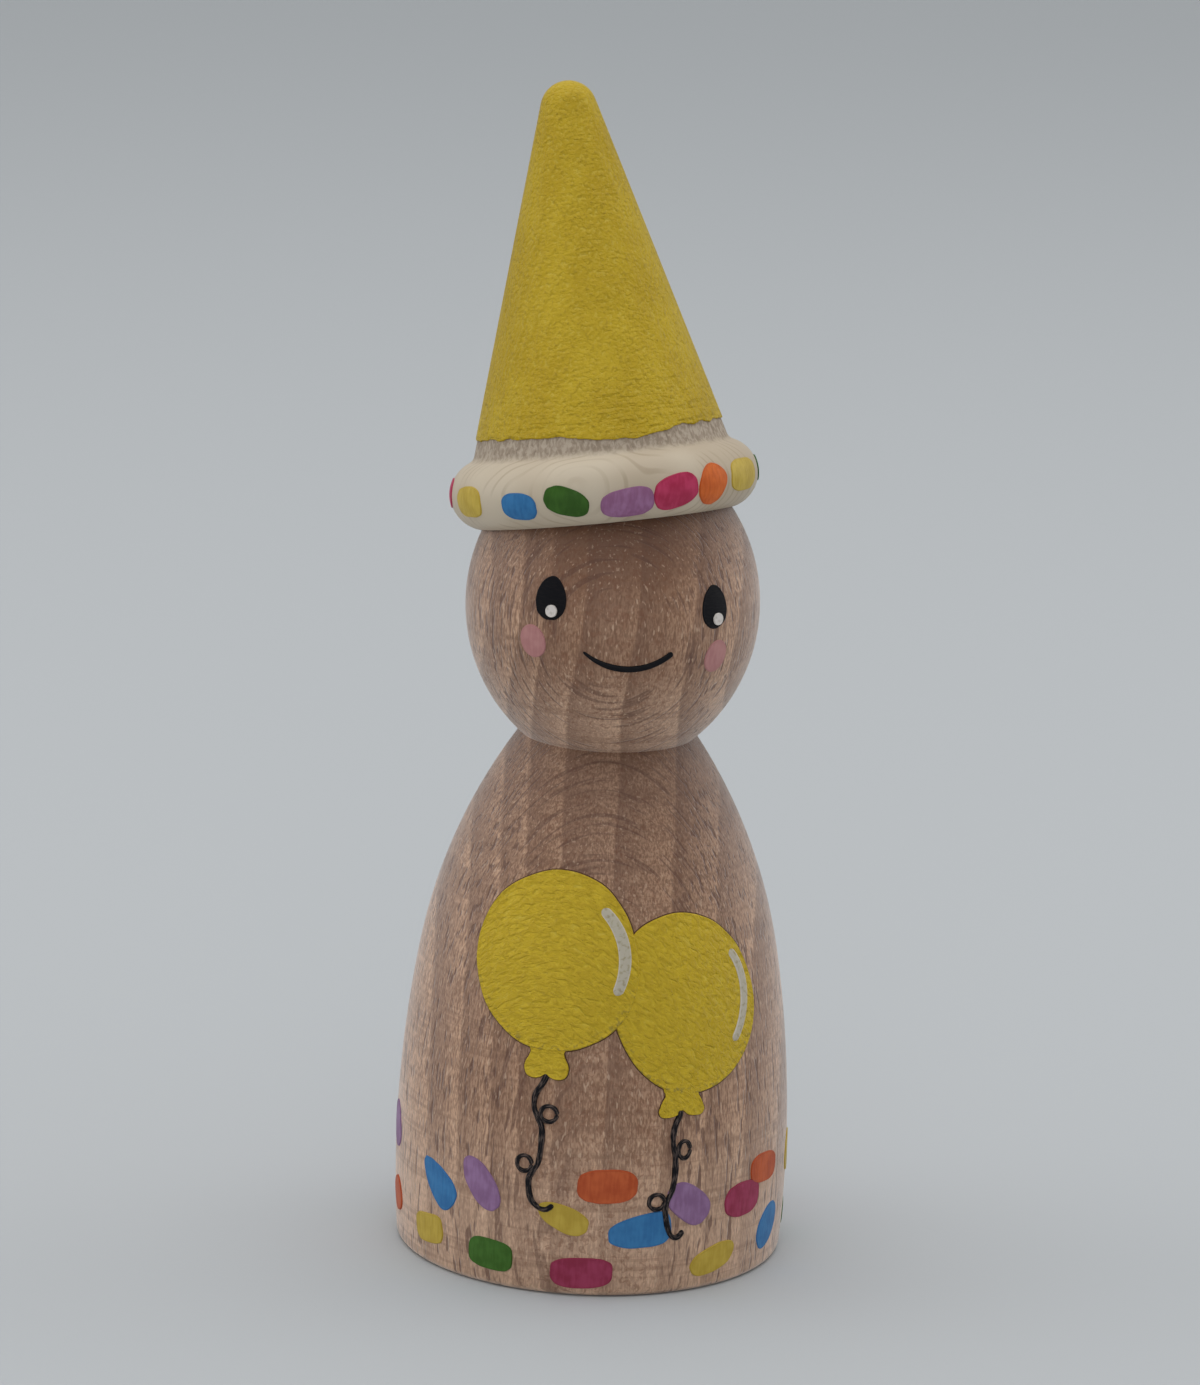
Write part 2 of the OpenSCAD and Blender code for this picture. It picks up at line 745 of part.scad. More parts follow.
brim_confetti(ORANGE);  // orange_brim_confetti
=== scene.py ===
# Peg doll: a turned beech figure, a loose cone hat, and films of paint laid on the wood.
# Shapes are worked out in millimetres and degrees, and a finished piece is scaled to metres.
# The doll looks along -Y. A turn counts from the front towards +X, as seen from above.
import math

import bmesh
import bpy
from mathutils import Matrix, Vector, noise


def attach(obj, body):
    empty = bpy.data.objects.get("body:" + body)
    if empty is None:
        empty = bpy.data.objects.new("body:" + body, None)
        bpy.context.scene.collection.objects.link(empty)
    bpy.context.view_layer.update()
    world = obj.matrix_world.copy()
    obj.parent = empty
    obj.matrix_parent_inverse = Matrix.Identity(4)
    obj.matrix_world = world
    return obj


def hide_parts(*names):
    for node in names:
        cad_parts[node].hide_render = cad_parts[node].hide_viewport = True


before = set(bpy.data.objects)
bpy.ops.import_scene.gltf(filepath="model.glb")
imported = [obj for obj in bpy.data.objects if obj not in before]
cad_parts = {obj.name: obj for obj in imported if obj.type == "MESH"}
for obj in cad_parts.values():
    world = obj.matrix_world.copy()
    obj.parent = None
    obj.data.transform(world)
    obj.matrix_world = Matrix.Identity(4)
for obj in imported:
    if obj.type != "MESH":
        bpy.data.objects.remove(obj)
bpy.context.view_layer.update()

METRES_PER_MM = 0.001

# Sizes of the turned figure
BELLY_R = 15
BELLY_Z = 7.3
SIDE_ARC_R = 93
SHOULDER_Z = 23
BODY_H = 40.1
NECK_R = 6.65
BASE_EDGE_R = 0.6
HEAD_R = 11.1
HEAD_ARC_R = 13.3
CROWN_R = 10.6

# Sizes of the turned hat
HAT_H = 32.8
BRIM_R = 11.6
BEAD_R = 2.65
CONE_FOOT_R = 10.4
TIP_R = 2
DISH_DEPTH = 6.1
SEAT_GAP = 0.2
HAT_LEAN = 12
HAT_LEAN_TURN = -148
BRIM_FILLET = 0.8
DISH_EDGE = 0.12

# Lower edge of the hat's coat: its dip at the front, and how ragged the brush left it
HAT_COAT_Z = 6.85
COAT_DIP = 0.6
COAT_DIP_W = 9
COAT_DIP_TURN = 4
COAT_RAG = 0.16
COAT_REACH = 4

# Films of paint: how thick each is, how far its underside is bedded into the wood, and how wide
# and how full a drawn line is
HAT_COAT_T = 0.14
DAB_T = 0.06
DAB_STEP = 0.008
FACE_T = 0.08
LINE_T = 0.13
OVERPAINT_T = 0.2
BEDDING = 0.03
LINE_W = 0.42
LINE_FULLNESS = 1.2

# How far in from its edge the raised rim of a film starts
EYE_RIM = 0.15
FACE_RIM = 0.12
DAB_RIM = 0.14
BALLOON_RIM = 0.28
KNOT_RIM = 0.25

# Heights that the confetti's places are shares of, and the size of a common dab
CONFETTI_H = 10
BODY_DAB = (4, 2.4)
BRIM_DAB = (3.6, 2.2)

# How finely round shapes are divided
TURNED_STEPS = 224
COAT_STEPS = 360
BALLOON_STEPS = 128
DAB_STEPS = 48
LINE_CAP_STEPS = 6
LINE_SIDES = 16

# Points this near count as one, in mm, and a fold less sharp than this is smoothed, in degrees
SNAP = 0.001
SHARP_FOLD = 50


def flat(point):
    """A point of a profile, (radius, height), as a point in the plane y = 0."""
    return Vector((point[0], 0, point[1]))


def around(degrees):
    """Unit direction in the plane of a profile or of an outline."""
    return Vector((math.cos(math.radians(degrees)), math.sin(math.radians(degrees))))


def way_of(direction):
    return math.degrees(math.atan2(direction[1], direction[0]))


def turn_about_z(degrees):
    return Matrix.Rotation(math.radians(degrees), 4, "Z")


class Arc:
    """A round stretch of a profile, from one angle about its centre to another."""

    def __init__(self, centre, radius, start, end):
        self.centre = Vector(centre)
        self.radius = radius
        self.start = start
        self.end = end

    def point(self, angle):
        return self.centre + self.radius * around(angle)

    def holds(self, height):
        low, high = sorted((self.point(self.start).y, self.point(self.end).y))
        return low <= height <= high

    def at(self, height):
        """Radius of the turned surface at a height, and the way out of it."""
        angle = math.degrees(math.asin((height - self.centre.y) / self.radius))
        return self.point(angle).x, around(angle)


# Arcs of the body
side_centre = Vector((BELLY_R - SIDE_ARC_R, BELLY_Z))
side_start = math.degrees(math.asin((BASE_EDGE_R - BELLY_Z) / (SIDE_ARC_R - BASE_EDGE_R)))
base_edge_centre = side_centre + (SIDE_ARC_R - BASE_EDGE_R) * around(side_start)
shoulder_turn = math.degrees(math.asin((SHOULDER_Z - BELLY_Z) / SIDE_ARC_R))
shoulder_end = side_centre + SIDE_ARC_R * around(shoulder_turn)
neck = Vector((NECK_R, BODY_H))
shoulder_chord = shoulder_end - neck
shoulder_r = shoulder_chord.length_squared / (2 * around(shoulder_turn).dot(shoulder_chord))
shoulder_centre = shoulder_end - shoulder_r * around(shoulder_turn)
base_edge = Arc(base_edge_centre, BASE_EDGE_R, -90, side_start)
body_side = Arc(side_centre, SIDE_ARC_R, side_start, shoulder_turn)
shoulder = Arc(shoulder_centre, shoulder_r, shoulder_turn, way_of(neck - shoulder_centre))

# Arcs of the head
head_cx = HEAD_R - HEAD_ARC_R
head_z = BODY_H + math.sqrt(HEAD_ARC_R**2 - (NECK_R - head_cx) ** 2)
head_centre = Vector((head_cx, head_z))
crown_z = head_z + math.sqrt((HEAD_ARC_R - CROWN_R) ** 2 - head_cx**2)
crown_turn = way_of((-head_cx, crown_z - head_z))
head_side = Arc(head_centre, HEAD_ARC_R, way_of(neck - head_centre), crown_turn)
crown = Arc((0, crown_z), CROWN_R, crown_turn, 90)

# Dish of the hat: a hollow ball round the crown's centre that clears the side of the head
rim_way = around(math.degrees(math.acos(1 - DISH_DEPTH / CROWN_R)) + HAT_LEAN)
rim_reach = head_cx * rim_way.y - (crown_z - head_z) * rim_way.x
head_reach = rim_reach + math.sqrt(rim_reach**2 + HEAD_ARC_R**2 - (HEAD_ARC_R - CROWN_R) ** 2)
dish_r = max(head_reach, CROWN_R) + SEAT_GAP
dish_centre = Vector((0, DISH_DEPTH - dish_r))

# Brim, flank and tip of the hat, in the hat's own frame
bead_centre = Vector((BRIM_R - BEAD_R, BEAD_R))
dish_way = bead_centre - dish_centre
dish_spread = (dish_r**2 - BEAD_R**2 + dish_way.length_squared) / (2 * dish_way.length * dish_r)
dish_turn = way_of(dish_way) - math.degrees(math.acos(dish_spread))
dish = Arc(dish_centre, dish_r, 90, dish_turn)
dish_rim = dish.point(dish_turn)
cone_h = HAT_H - TIP_R - BEAD_R
flank_turn = math.degrees(math.acos(TIP_R / math.hypot(CONE_FOOT_R, cone_h))) - way_of((CONE_FOOT_R, cone_h))
flank_out = around(flank_turn)
flank_up = Vector((-flank_out.y, flank_out.x))
fillet_way = Vector((CONE_FOOT_R, BEAD_R)) + BRIM_FILLET * flank_out - bead_centre
fillet_along = fillet_way.dot(flank_up)
fillet_rise = math.sqrt(fillet_along**2 - fillet_way.length_squared + (BEAD_R + BRIM_FILLET) ** 2)
fillet_centre = bead_centre + fillet_way + (fillet_rise - fillet_along) * flank_up
fillet_turn = way_of(fillet_centre - bead_centre)
brim = Arc(bead_centre, BEAD_R, way_of(dish_rim - bead_centre), fillet_turn)
fillet = Arc(fillet_centre, BRIM_FILLET, fillet_turn - 180, flank_turn - 180)
tip = Arc((0, HAT_H - TIP_R), TIP_R, flank_turn, 90)
hat_place = (
    Matrix.Translation((0, 0, crown_z))
    @ turn_about_z(HAT_LEAN_TURN)
    @ Matrix.Rotation(math.radians(HAT_LEAN), 4, "X")
    @ turn_about_z(-HAT_LEAN_TURN)
    @ Matrix.Translation((0, 0, -dish_centre.y))
)

BODY = (body_side, shoulder)
HEAD = (head_side, crown)
BRIM = (Arc(bead_centre, BEAD_R, -90, 90),)


class Value:
    """A socket of a node tree, which sums and products join to others."""

    def __init__(self, nodes, socket):
        self.nodes = nodes
        self.socket = socket

    def __add__(self, other):
        return self.nodes.maths("ADD", self, other)

    def __sub__(self, other):
        return self.nodes.maths("SUBTRACT", self, other)

    def __rsub__(self, other):
        return self.nodes.maths("SUBTRACT", other, self)

    def __mul__(self, other):
        return self.nodes.maths("MULTIPLY", self, other)

    def __truediv__(self, other):
        return self.nodes.maths("DIVIDE", self, other)

    __radd__ = __add__
    __rmul__ = __mul__


class Nodes:
    """A node tree that grows by one node at a time."""

    def __init__(self, tree):
        self.tree = tree

    def node(self, kind, settings, sockets, output=0):
        """Adds a node: its settings first, then the values or links of its sockets."""
        node = self.tree.nodes.new(kind)
        for name, setting in settings.items():
            if name == "stops":
                self.lay_stops(node.color_ramp, setting)
            else:
                setattr(node, name, setting)
        for name, value in sockets.items():
            self.feed(node.inputs[name], value)
        return Value(self, node.outputs[output])

    def lay_stops(self, ramp, stops):
        while len(ramp.elements) < len(stops):
            ramp.elements.new(1)
        for element, (place, level) in zip(ramp.elements, stops):
            element.position = place
            element.color = (level, level, level, 1)

    def feed(self, socket, value):
        if isinstance(value, Value):
            self.tree.links.new(value.socket, socket)
        else:
            socket.default_value = value

    def maths(self, operation, *values):
        return self.node("ShaderNodeMath", {"operation": operation}, dict(enumerate(values)))

    def vector_maths(self, operation, *values):
        return self.node("ShaderNodeVectorMath", {"operation": operation}, dict(enumerate(values)))

    def parts(self, vector):
        return [self.node("ShaderNodeSeparateXYZ", {}, {"Vector": vector}, k) for k in range(3)]

    def noise(self, vector, scales, detail=2.0, distortion=0.0):
        sockets = {
            "Vector": self.vector_maths("MULTIPLY", vector, scales),
            "Scale": 1.0,
            "Detail": detail,
            "Distortion": distortion,
        }
        return self.node("ShaderNodeTexNoise", {}, sockets)

    def between(self, value, low, high):
        """Rises smoothly from 0 at one value to 1 at another."""
        sockets = {"Value": value, "From Min": low, "From Max": high}
        return self.node("ShaderNodeMapRange", {"interpolation_type": "SMOOTHSTEP"}, sockets)

    def mix(self, colour, other, share):
        return self.node("ShaderNodeMix", {"data_type": "RGBA"}, {0: share, 6: colour, 7: other}, 2)


class Finish(Nodes):
    """The look of one material."""

    def __init__(self, name):
        self.material = bpy.data.materials.new(name)
        self.material.use_nodes = True
        super().__init__(self.material.node_tree)
        self.shader = self.tree.nodes["Principled BSDF"]

    def in_mm(self, place):
        """The place on the piece, in millimetres, in a frame that stands at a matrix."""
        where = self.node("ShaderNodeTexCoord", {}, {}, "Object")
        sockets = {
            "Vector": where,
            "Location": place.translation * METRES_PER_MM,
            "Rotation": place.to_euler(),
            "Scale": (METRES_PER_MM,) * 3,
        }
        return self.node("ShaderNodeMapping", {"vector_type": "TEXTURE"}, sockets)

    def spot(self):
        """The place on a film of paint: across, up, and in from its edge, in millimetres."""
        return self.node("ShaderNodeAttribute", {"attribute_name": "spot"}, {}, "Vector")

    def facing(self):
        """The way that the piece's surface faces."""
        return self.node("ShaderNodeTexCoord", {}, {}, "Normal")

    def close(self, colour, roughness, gloss, height=None, depth=0.0):
        """Wires the shader: its colour, roughness and gloss, and a relief of a depth in millimetres."""
        self.shader.inputs["Specular IOR Level"].default_value = gloss
        self.feed(self.shader.inputs["Base Color"], colour)
        self.feed(self.shader.inputs["Roughness"], roughness)
        if height is not None:
            sockets = {"Height": height, "Distance": depth * METRES_PER_MM}
            self.feed(self.shader.inputs["Normal"], self.node("ShaderNodeBump", {}, sockets))
        return self.material


def shade(red, green, blue):
    """A colour given as a screen shows it, from 0 to 255."""
    return tuple(((c / 255 + 0.055) / 1.055) ** 2.4 for c in (red, green, blue)) + (1,)


# Beech: the turn of its grain, and where its growth rings lie across the grain
GRAIN_TURN = -8
GROWTH_RINGS = (-12.4, -10, -7.6, -5.6, -3, 0.95, 5.25, 8.6, 11.6, 14.2)
RING_SPAN = 16

# A ring's tone, from just before its line to well past it: shift as a share of the ramp, and tone
RING_SHAPE = ((-0.003, 0), (0.002, 1), (0.04, 0.6))

# Tones of the beech
BEECH_PALE = shade(204, 165, 135)
BEECH_DEEP = shade(150, 114, 89)
HEART_TONE = shade(112, 72, 44)
# Painted light: bounce from the floor, laid on the foot and on surfaces that face down
BOUNCE_LIGHT_TONE = shade(226, 194, 168)
RING_TONE = shade(98, 64, 46)
TURNING_TONE = shade(128, 94, 72)
CURL_TONE = shade(118, 72, 44)
ARC_TONE = shade(88, 54, 40)
DASH_TONE = shade(92, 58, 44)
FLECK_TONE = shade(226, 196, 168)
# Painted shade together with the end grain's darker tone, laid on surfaces that face up
END_GRAIN_AND_SHADE_TONE = shade(78, 48, 34)

# Heights between which the beech changes tone; the first is where the painted bounce light from the floor
# fades from the foot
FOOT_FADE = (15, 5)
WAIST_RISE = (9, 15)
WAIST_FALL = (27, 20)
CHIN_RISE = (43, 48)
BROW_RISE = (50, 56)

# Heights between which the rings step aside by 1 mm
HEAD_SHIFT = (42, 54)


def ring_stops():
    """Tone of the growth rings across the grain: dark just past each line, then fading."""
    stops = []
    for line in GROWTH_RINGS:
        place = (line + RING_SPAN) / (2 * RING_SPAN)
        for shift, tone in RING_SHAPE:
            stops.append((place + shift, tone))
    return stops


def beech():
    """Steamed beech: growth rings across X, and rays that lie in planes square to Y."""
    wood = Finish("beech")
    place = wood.in_mm(turn_about_z(GRAIN_TURN))
    x, z = wood.parts(place)[::2]
    ny, nz = wood.parts(wood.facing())[1:]
    aside = wood.maths("ABSOLUTE", x)
    drift = wood.noise(place, (0.12, 0.12, 0.05), 1) - 0.5
    across = (x - wood.between(z, *HEAD_SHIFT) + drift * 0.7) / (2 * RING_SPAN) + 0.5
    rings = wood.node("ShaderNodeValToRGB", {"stops": ring_stops()}, {"Fac": across})
    ring = wood.node("ShaderNodeSeparateColor", {}, {"Color": rings})
    fibre = wood.noise(place, (5, 5, 0.35), 3)
    grain = wood.noise(place, (8, 8, 2.2), 2)
    mottle = wood.noise(place, (0.5, 0.5, 0.2), 2)
    turning = wood.noise(place, (0.05, 0.05, 2.2), 3)
    arcs = wood.between(wood.noise(place, (0.2, 6, 0.3), 1), 0.57, 0.66) * wood.between(aside, 12, 6)
    arcs = arcs * wood.between(ny, -0.995, -0.94)
    dashes = wood.between(wood.noise(place, (2.4, 3.4, 0.45), 1), 0.58, 0.66) * wood.between(aside, 3, 8)
    curls = wood.between(wood.noise(place, (2, 3, 1.8), 2, 1.2), 0.53, 0.62) * wood.between(aside, 8, 3)
    flecks = wood.between(wood.noise(place, (4.5, 8, 1.3), 1), 0.62, 0.74)
    waist = wood.between(z, *WAIST_RISE) * wood.between(z, *WAIST_FALL)
    brow = wood.between(z, *CHIN_RISE) * 0.36 + wood.between(z, *BROW_RISE) * 0.4
    heart = wood.between(aside, 10, 2) * (0.06 + brow + waist * 0.24)
    # Painted bounce light from the floor: paler towards the foot and where the surface faces down
    foot = wood.between(z, *FOOT_FADE)
    lit_underside = wood.between(nz, -0.1, -0.6)
    # Darker where the surface faces up: partly end grain, partly painted shade from the head and brim above,
    # weaker on the left, where more light falls
    end_grain_and_shade = wood.between(nz, 0.1, 0.7) * (0.3 + wood.between(x, -8, 0) * 0.7)
    tone = wood.between(fibre * 0.3 + grain * 0.6 + mottle * 0.1, 0.4, 0.6)
    colour = wood.mix(BEECH_PALE, BEECH_DEEP, tone)
    for laid, strength in (
        (HEART_TONE, heart),
        (BOUNCE_LIGHT_TONE, foot * 0.34 + lit_underside * 0.34),
        (RING_TONE, ring * (0.58 - foot * 0.26)),
        (TURNING_TONE, wood.between(turning, 0.5, 0.62) * 0.35),
        (CURL_TONE, curls * 0.42),
        (ARC_TONE, arcs * 0.5),
        (DASH_TONE, dashes * 0.7),
        (FLECK_TONE, flecks * 0.4),
        (END_GRAIN_AND_SHADE_TONE, end_grain_and_shade * 0.56),
    ):
        colour = wood.mix(colour, laid, strength)
    relief = fibre * 0.4 + grain * 0.4 - dashes * 0.5 - arcs * 0.3 + turning * 0.15
    wood.shader.inputs["Sheen Weight"].default_value = 0.5
    wood.shader.inputs["Sheen Roughness"].default_value = 0.4
    return wood.close(colour, 0.56 - flecks * 0.12, 0.45, relief, 0.07)


# The hat's wood: height of its bare band, and tones of the sealed brim and of the band
BAND_Z = 5.3
SEALED_PALE = shade(196, 183, 162)
SEALED_DEEP = shade(184, 169, 147)
SEALED_LINE = shade(150, 132, 108)
BARE_PALE = shade(178, 164, 147)
BARE_DEEP = shade(146, 131, 114)
BARE_FIBRE = shade(112, 97, 82)


def pale_wood():
    """Pale close-grained wood: a smooth sealed brim, and a bare torn band below the coat."""
    wood = Finish("pale_wood")
    place = wood.in_mm(hat_place)
    x, y, z = wood.parts(place)
    drift = wood.noise(place, (0.16, 0.16, 0.1), 1)
    edge = wood.noise(place, (0.8, 0.8, 0.8), 2) * 0.5 - 0.25
    band = wood.between(z + edge, BAND_Z - 0.3, BAND_Z + 0.4)
    growth = wood.maths("SINE", (y + x * 0.12 + drift * 5) * 8)
    broken = wood.between(wood.noise(place, (0.3, 0.3, 0.3), 1), 0.35, 0.6)
    growth_line = wood.between(growth, 0.5, 0.95) * broken
    fibre = wood.noise(place, (5, 5, 0.7), 3)
    torn = wood.noise(place, (3.6, 3.6, 2), 4, 0.6)
    sealed = wood.mix(SEALED_PALE, SEALED_DEEP, wood.between(drift, 0.35, 0.7))
    sealed = wood.mix(sealed, SEALED_LINE, growth_line * 0.4)
    bare = wood.mix(BARE_PALE, BARE_DEEP, wood.between(torn, 0.38, 0.64))
    bare = wood.mix(bare, BARE_FIBRE, wood.between(fibre, 0.58, 0.74) * 0.5)
    colour = wood.mix(sealed, bare, band)
    relief = torn * band + fibre * 0.15
    return wood.close(colour, 0.5 + band * 0.25, 0.3, relief, 0.09)


# Heights between which the coat's ripples fade in, going down
RIPPLE_FADE = (14, 7)

# Tones of the yellow paints, of the white's rim and of the black
COAT_PALE = shade(192, 164, 36)
COAT_DEEP = shade(181, 152, 28)
# Painted shade and painted highlight of the coat's stipple
COAT_STIPPLE_SHADE = shade(150, 127, 32)
COAT_STIPPLE_HIGHLIGHT = shade(204, 182, 80)
BALLOON_PALE = shade(202, 173, 42)
BALLOON_DEEP = shade(192, 163, 37)
BALLOON_STROKE = shade(214, 193, 84)
BALLOON_GRIT = shade(112, 94, 34)
BALLOON_RUB = shade(120, 112, 60)
# Dark line round a balloon and its knot: partly the paint's own edge, partly painted contact shade
BALLOON_EDGE_AND_SHADE = shade(84, 56, 40)
# Painted highlight on the raised rim of the white paint
CHALK_RIM_HIGHLIGHT = shade(214, 208, 200)
INK = shade(18, 18, 22)
INK_STREAK = shade(104, 90, 84)


def sponged_yellow():
    """The hat's coat: thick yellow with a fine stipple, and the wood's growth arcs beneath it."""
    paint = Finish("yellow_hat_coat")
    place = paint.in_mm(hat_place)
    y, z = paint.parts(place)[1:]
    stipple = paint.noise(place, (3.2, 3.2, 3.6), 2)
    patch = paint.between(paint.noise(place, (0.25, 0.25, 0.2), 2), 0.3, 0.7)
    growth = paint.maths("SINE", (y + paint.noise(place, (0.1, 0.1, 0.1), 1) * 4) * 5.5)
    brushing = paint.noise(place, (1.6, 1.6, 0.25), 2)
    ripple = paint.noise(place, (0.4, 0.4, 2.2), 2)
    low = paint.between(z, *RIPPLE_FADE)
    colour = paint.mix(COAT_PALE, COAT_DEEP, patch)
    # Darker and paler tones on the stipple's own noise, which also raises its relief: painted shade and
    # painted highlight
    colour = paint.mix(colour, COAT_STIPPLE_SHADE, paint.between(stipple, 0.56, 0.72) * 0.4)
    colour = paint.mix(colour, COAT_STIPPLE_HIGHLIGHT, paint.between(stipple, 0.44, 0.3) * 0.4)
    relief = stipple * 0.6 + ripple * low * 0.8 + growth * 0.07 + brushing * 0.35
    return paint.close(colour, 0.5, 0.2, relief, 0.42)


def brushed_yellow(name, stroke_turn, bow):
    """A balloon's paint, its strokes at a turn and curved by bow times the square of the place across."""
    paint = Finish(name)
    spot = paint.spot()
    u, v, inset = paint.parts(spot)
    bowed = paint.node("ShaderNodeCombineXYZ", {}, {"X": u, "Y": v + u * u * bow, "Z": 0.0})
    strokes_at = paint.node(
        "ShaderNodeMapping",
        {"vector_type": "POINT"},
        {"Vector": bowed, "Rotation": (0, 0, math.radians(-stroke_turn))},
    )
    strokes = paint.noise(strokes_at, (1.2, 2.6, 1), 3, 0.8)
    stipple = paint.noise(spot, (2.6, 2.6, 0), 3)
    grit = paint.noise(spot, (5.5, 5.5, 0), 1)
    colour = paint.mix(BALLOON_PALE, BALLOON_DEEP, paint.between(strokes, 0.38, 0.62))
    colour = paint.mix(colour, BALLOON_STROKE, paint.between(strokes, 0.4, 0.28) * 0.3)
    colour = paint.mix(colour, BALLOON_GRIT, paint.between(grit, 0.74, 0.8) * 0.8)
    low_edge = paint.between(inset, 0.9, 0.2) * paint.between(v, 0.0, -4.0)
    rub = low_edge * paint.between(stipple, 0.5, 0.64)
    colour = paint.mix(colour, BALLOON_RUB, rub * 0.55)
    # Dark at the very edge and on the skirt: partly the paint's edge, partly painted contact shade
    colour = paint.mix(colour, BALLOON_EDGE_AND_SHADE, paint.between(inset, 0.02, 0.0))
    relief = strokes + stipple * 0.6
    return paint.close(colour, 0.45, 0.2, relief, 0.36)


def marker_paint(name, pale, deep):
    """Paint from a marker pen: even, with faint streaks and a darker line round its edge."""
    paint = Finish(name)
    inset = paint.parts(paint.spot())[2]
    place = paint.in_mm(Matrix.Identity(4))
    cloud = paint.noise(place, (0.7, 0.7, 0.9), 2)
    streak = paint.noise(place, (4, 4, 0.8), 2)
    colour = paint.mix(pale, deep, paint.between(cloud * 0.6 + streak * 0.4, 0.35, 0.65))
    colour = paint.mix(colour, deep, paint.between(inset, 0.18, 0.04) * 0.6)
    return paint.close(colour, 0.45, 0.2, streak, 0.03)


def chalk_white(name, pale, deep):
    """White paint over another coat, thin enough for specks of it to show."""
    paint = Finish(name)
    spot = paint.spot()
    speck = paint.noise(spot, (3, 3, 0), 3)
    inset = paint.parts(spot)[2]
    colour = paint.mix(pale, deep, paint.between(speck, 0.48, 0.7))
    # Paler towards the edge: a painted highlight where the raised rim catches light
    colour = paint.mix(colour, CHALK_RIM_HIGHLIGHT, paint.between(inset, 0.16, 0.06) * 0.6)
    return paint.close(colour, 0.5, 0.2, speck, 0.04)


def ink(name, streaking):
    """Black paint from a fine pen; its streaking is how strongly paler streaks show along the line."""
    paint = Finish(name)
    spot = paint.spot()
    streak = paint.noise(spot, (1.6, 8, 0), 2)
    colour = paint.mix(INK, INK_STREAK, paint.between(streak, 0.46, 0.66) * streaking)
    return paint.close(colour, 0.42, 0.1, streak, 0.04)


class Profile:
    """The outline of a turned piece, drawn on from its last point in the plane y = 0."""

    def __init__(self, start):
        self.shape = bmesh.new()
        self.last = self.shape.verts.new(flat(start))

    def line(self, end, steps=1):
        start = self.last.co.copy()
        for k in range(steps):
            grown = bmesh.ops.extrude_vert_indiv(self.shape, verts=[self.last])
            self.last = grown["verts"][0]
            self.last.co = start.lerp(flat(end), (k + 1) / steps)

    def arc(self, arc, steps):
        swept = bmesh.ops.spin(
            self.shape,
            geom=[self.last],
            cent=flat(arc.centre),
            axis=(0, -1, 0),
            dvec=(0, 0, 0),
            angle=math.radians(arc.end - arc.start),
            steps=steps,
        )
        self.last = next(e for e in swept["geom_last"] if isinstance(e, bmesh.types.BMVert))

    def turned(self, steps):
        """Spins the outline round the axis and closes the seam and the poles."""
        bmesh.ops.spin(
            self.shape,
            geom=self.shape.verts[:] + self.shape.edges[:],
            cent=(0, 0, 0),
            axis=(0, 0, 1),
            dvec=(0, 0, 0),
            angle=math.tau,
            steps=steps,
            use_merge=True,
        )
        bmesh.ops.remove_doubles(self.shape, verts=self.shape.verts, dist=SNAP / 10)
        bmesh.ops.recalc_face_normals(self.shape, faces=self.shape.faces)
        return self.shape


def ring_edges(shape, point):
    """Edges of the ring that one point of a profile makes."""

    def on_ring(vert):
        return abs(vert.co.xy.length - point.x) < SNAP and abs(vert.co.z - point.y) < SNAP

    return [edge for edge in shape.edges if all(on_ring(vert) for vert in edge.verts)]


def round_ring(shape, point, offset, segments):
    bmesh.ops.bevel(
        shape,
        geom=ring_edges(shape, point),
        offset=offset,
        offset_type="OFFSET",
        affect="EDGES",
        segments=segments,
        profile=0.5,
        material=-1,
    )


def add_piece(shape, name, body, nodes, slot, material):
    """Makes a shape a piece in metres, which rides on a body and stands for CAD nodes."""
    bmesh.ops.scale(shape, vec=(METRES_PER_MM,) * 3, verts=shape.verts)
    mesh = bpy.data.meshes.new(name)
    shape.to_mesh(mesh)
    shape.free()
    mesh.shade_smooth()
    mesh.set_sharp_from_angle(angle=math.radians(SHARP_FOLD))
    mesh.materials.append(material)
    piece = bpy.data.objects.new(name, mesh)
    bpy.context.scene.collection.objects.link(piece)
    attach(piece, body)
    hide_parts(*nodes)


def add_figure():
    profile = Profile((0, 0))
    profile.line((base_edge_centre.x, 0), 5)
    profile.arc(base_edge, 6)
    profile.arc(body_side, 26)
    profile.arc(shoulder, 30)
    profile.arc(head_side, 56)
    profile.arc(crown, 18)
    shape = profile.turned(TURNED_STEPS)
    add_piece(shape, "turned_figure", "figure", ["figure"], "beech", beech())


def add_hat():
    profile = Profile(dish.point(90))
    profile.arc(dish, 18)
    profile.arc(brim, 30)
    profile.arc(fillet, 8)
    profile.line(tip.point(flank_turn), 24)
    profile.arc(tip, 14)
    shape = profile.turned(TURNED_STEPS)
    round_ring(shape, dish_rim, DISH_EDGE, 3)
    shape.transform(hat_place)
    add_piece(shape, "turned_hat", "hat", ["hat"], "pale_wood", pale_wood())


def coat_edge(turn):
    """Height of the lower edge of the hat's coat at a turn."""
    across = flank_radius(HAT_COAT_Z) * math.sin(math.radians(turn - COAT_DIP_TURN))
    height = HAT_COAT_Z
    if abs(across) < COAT_DIP_W / 2 and math.cos(math.radians(turn - COAT_DIP_TURN)) > 0:
        height -= COAT_DIP * math.cos(math.pi * across / COAT_DIP_W)
    way = around(turn)
    rag = noise.fractal(Vector((7 * way.x, 7 * way.y, 3.1)), 0.9, 2.1, 4)
    return height + COAT_RAG * rag


def flank_radius(height):
    return CONE_FOOT_R - (height - BEAD_R) * math.tan(math.radians(flank_turn))


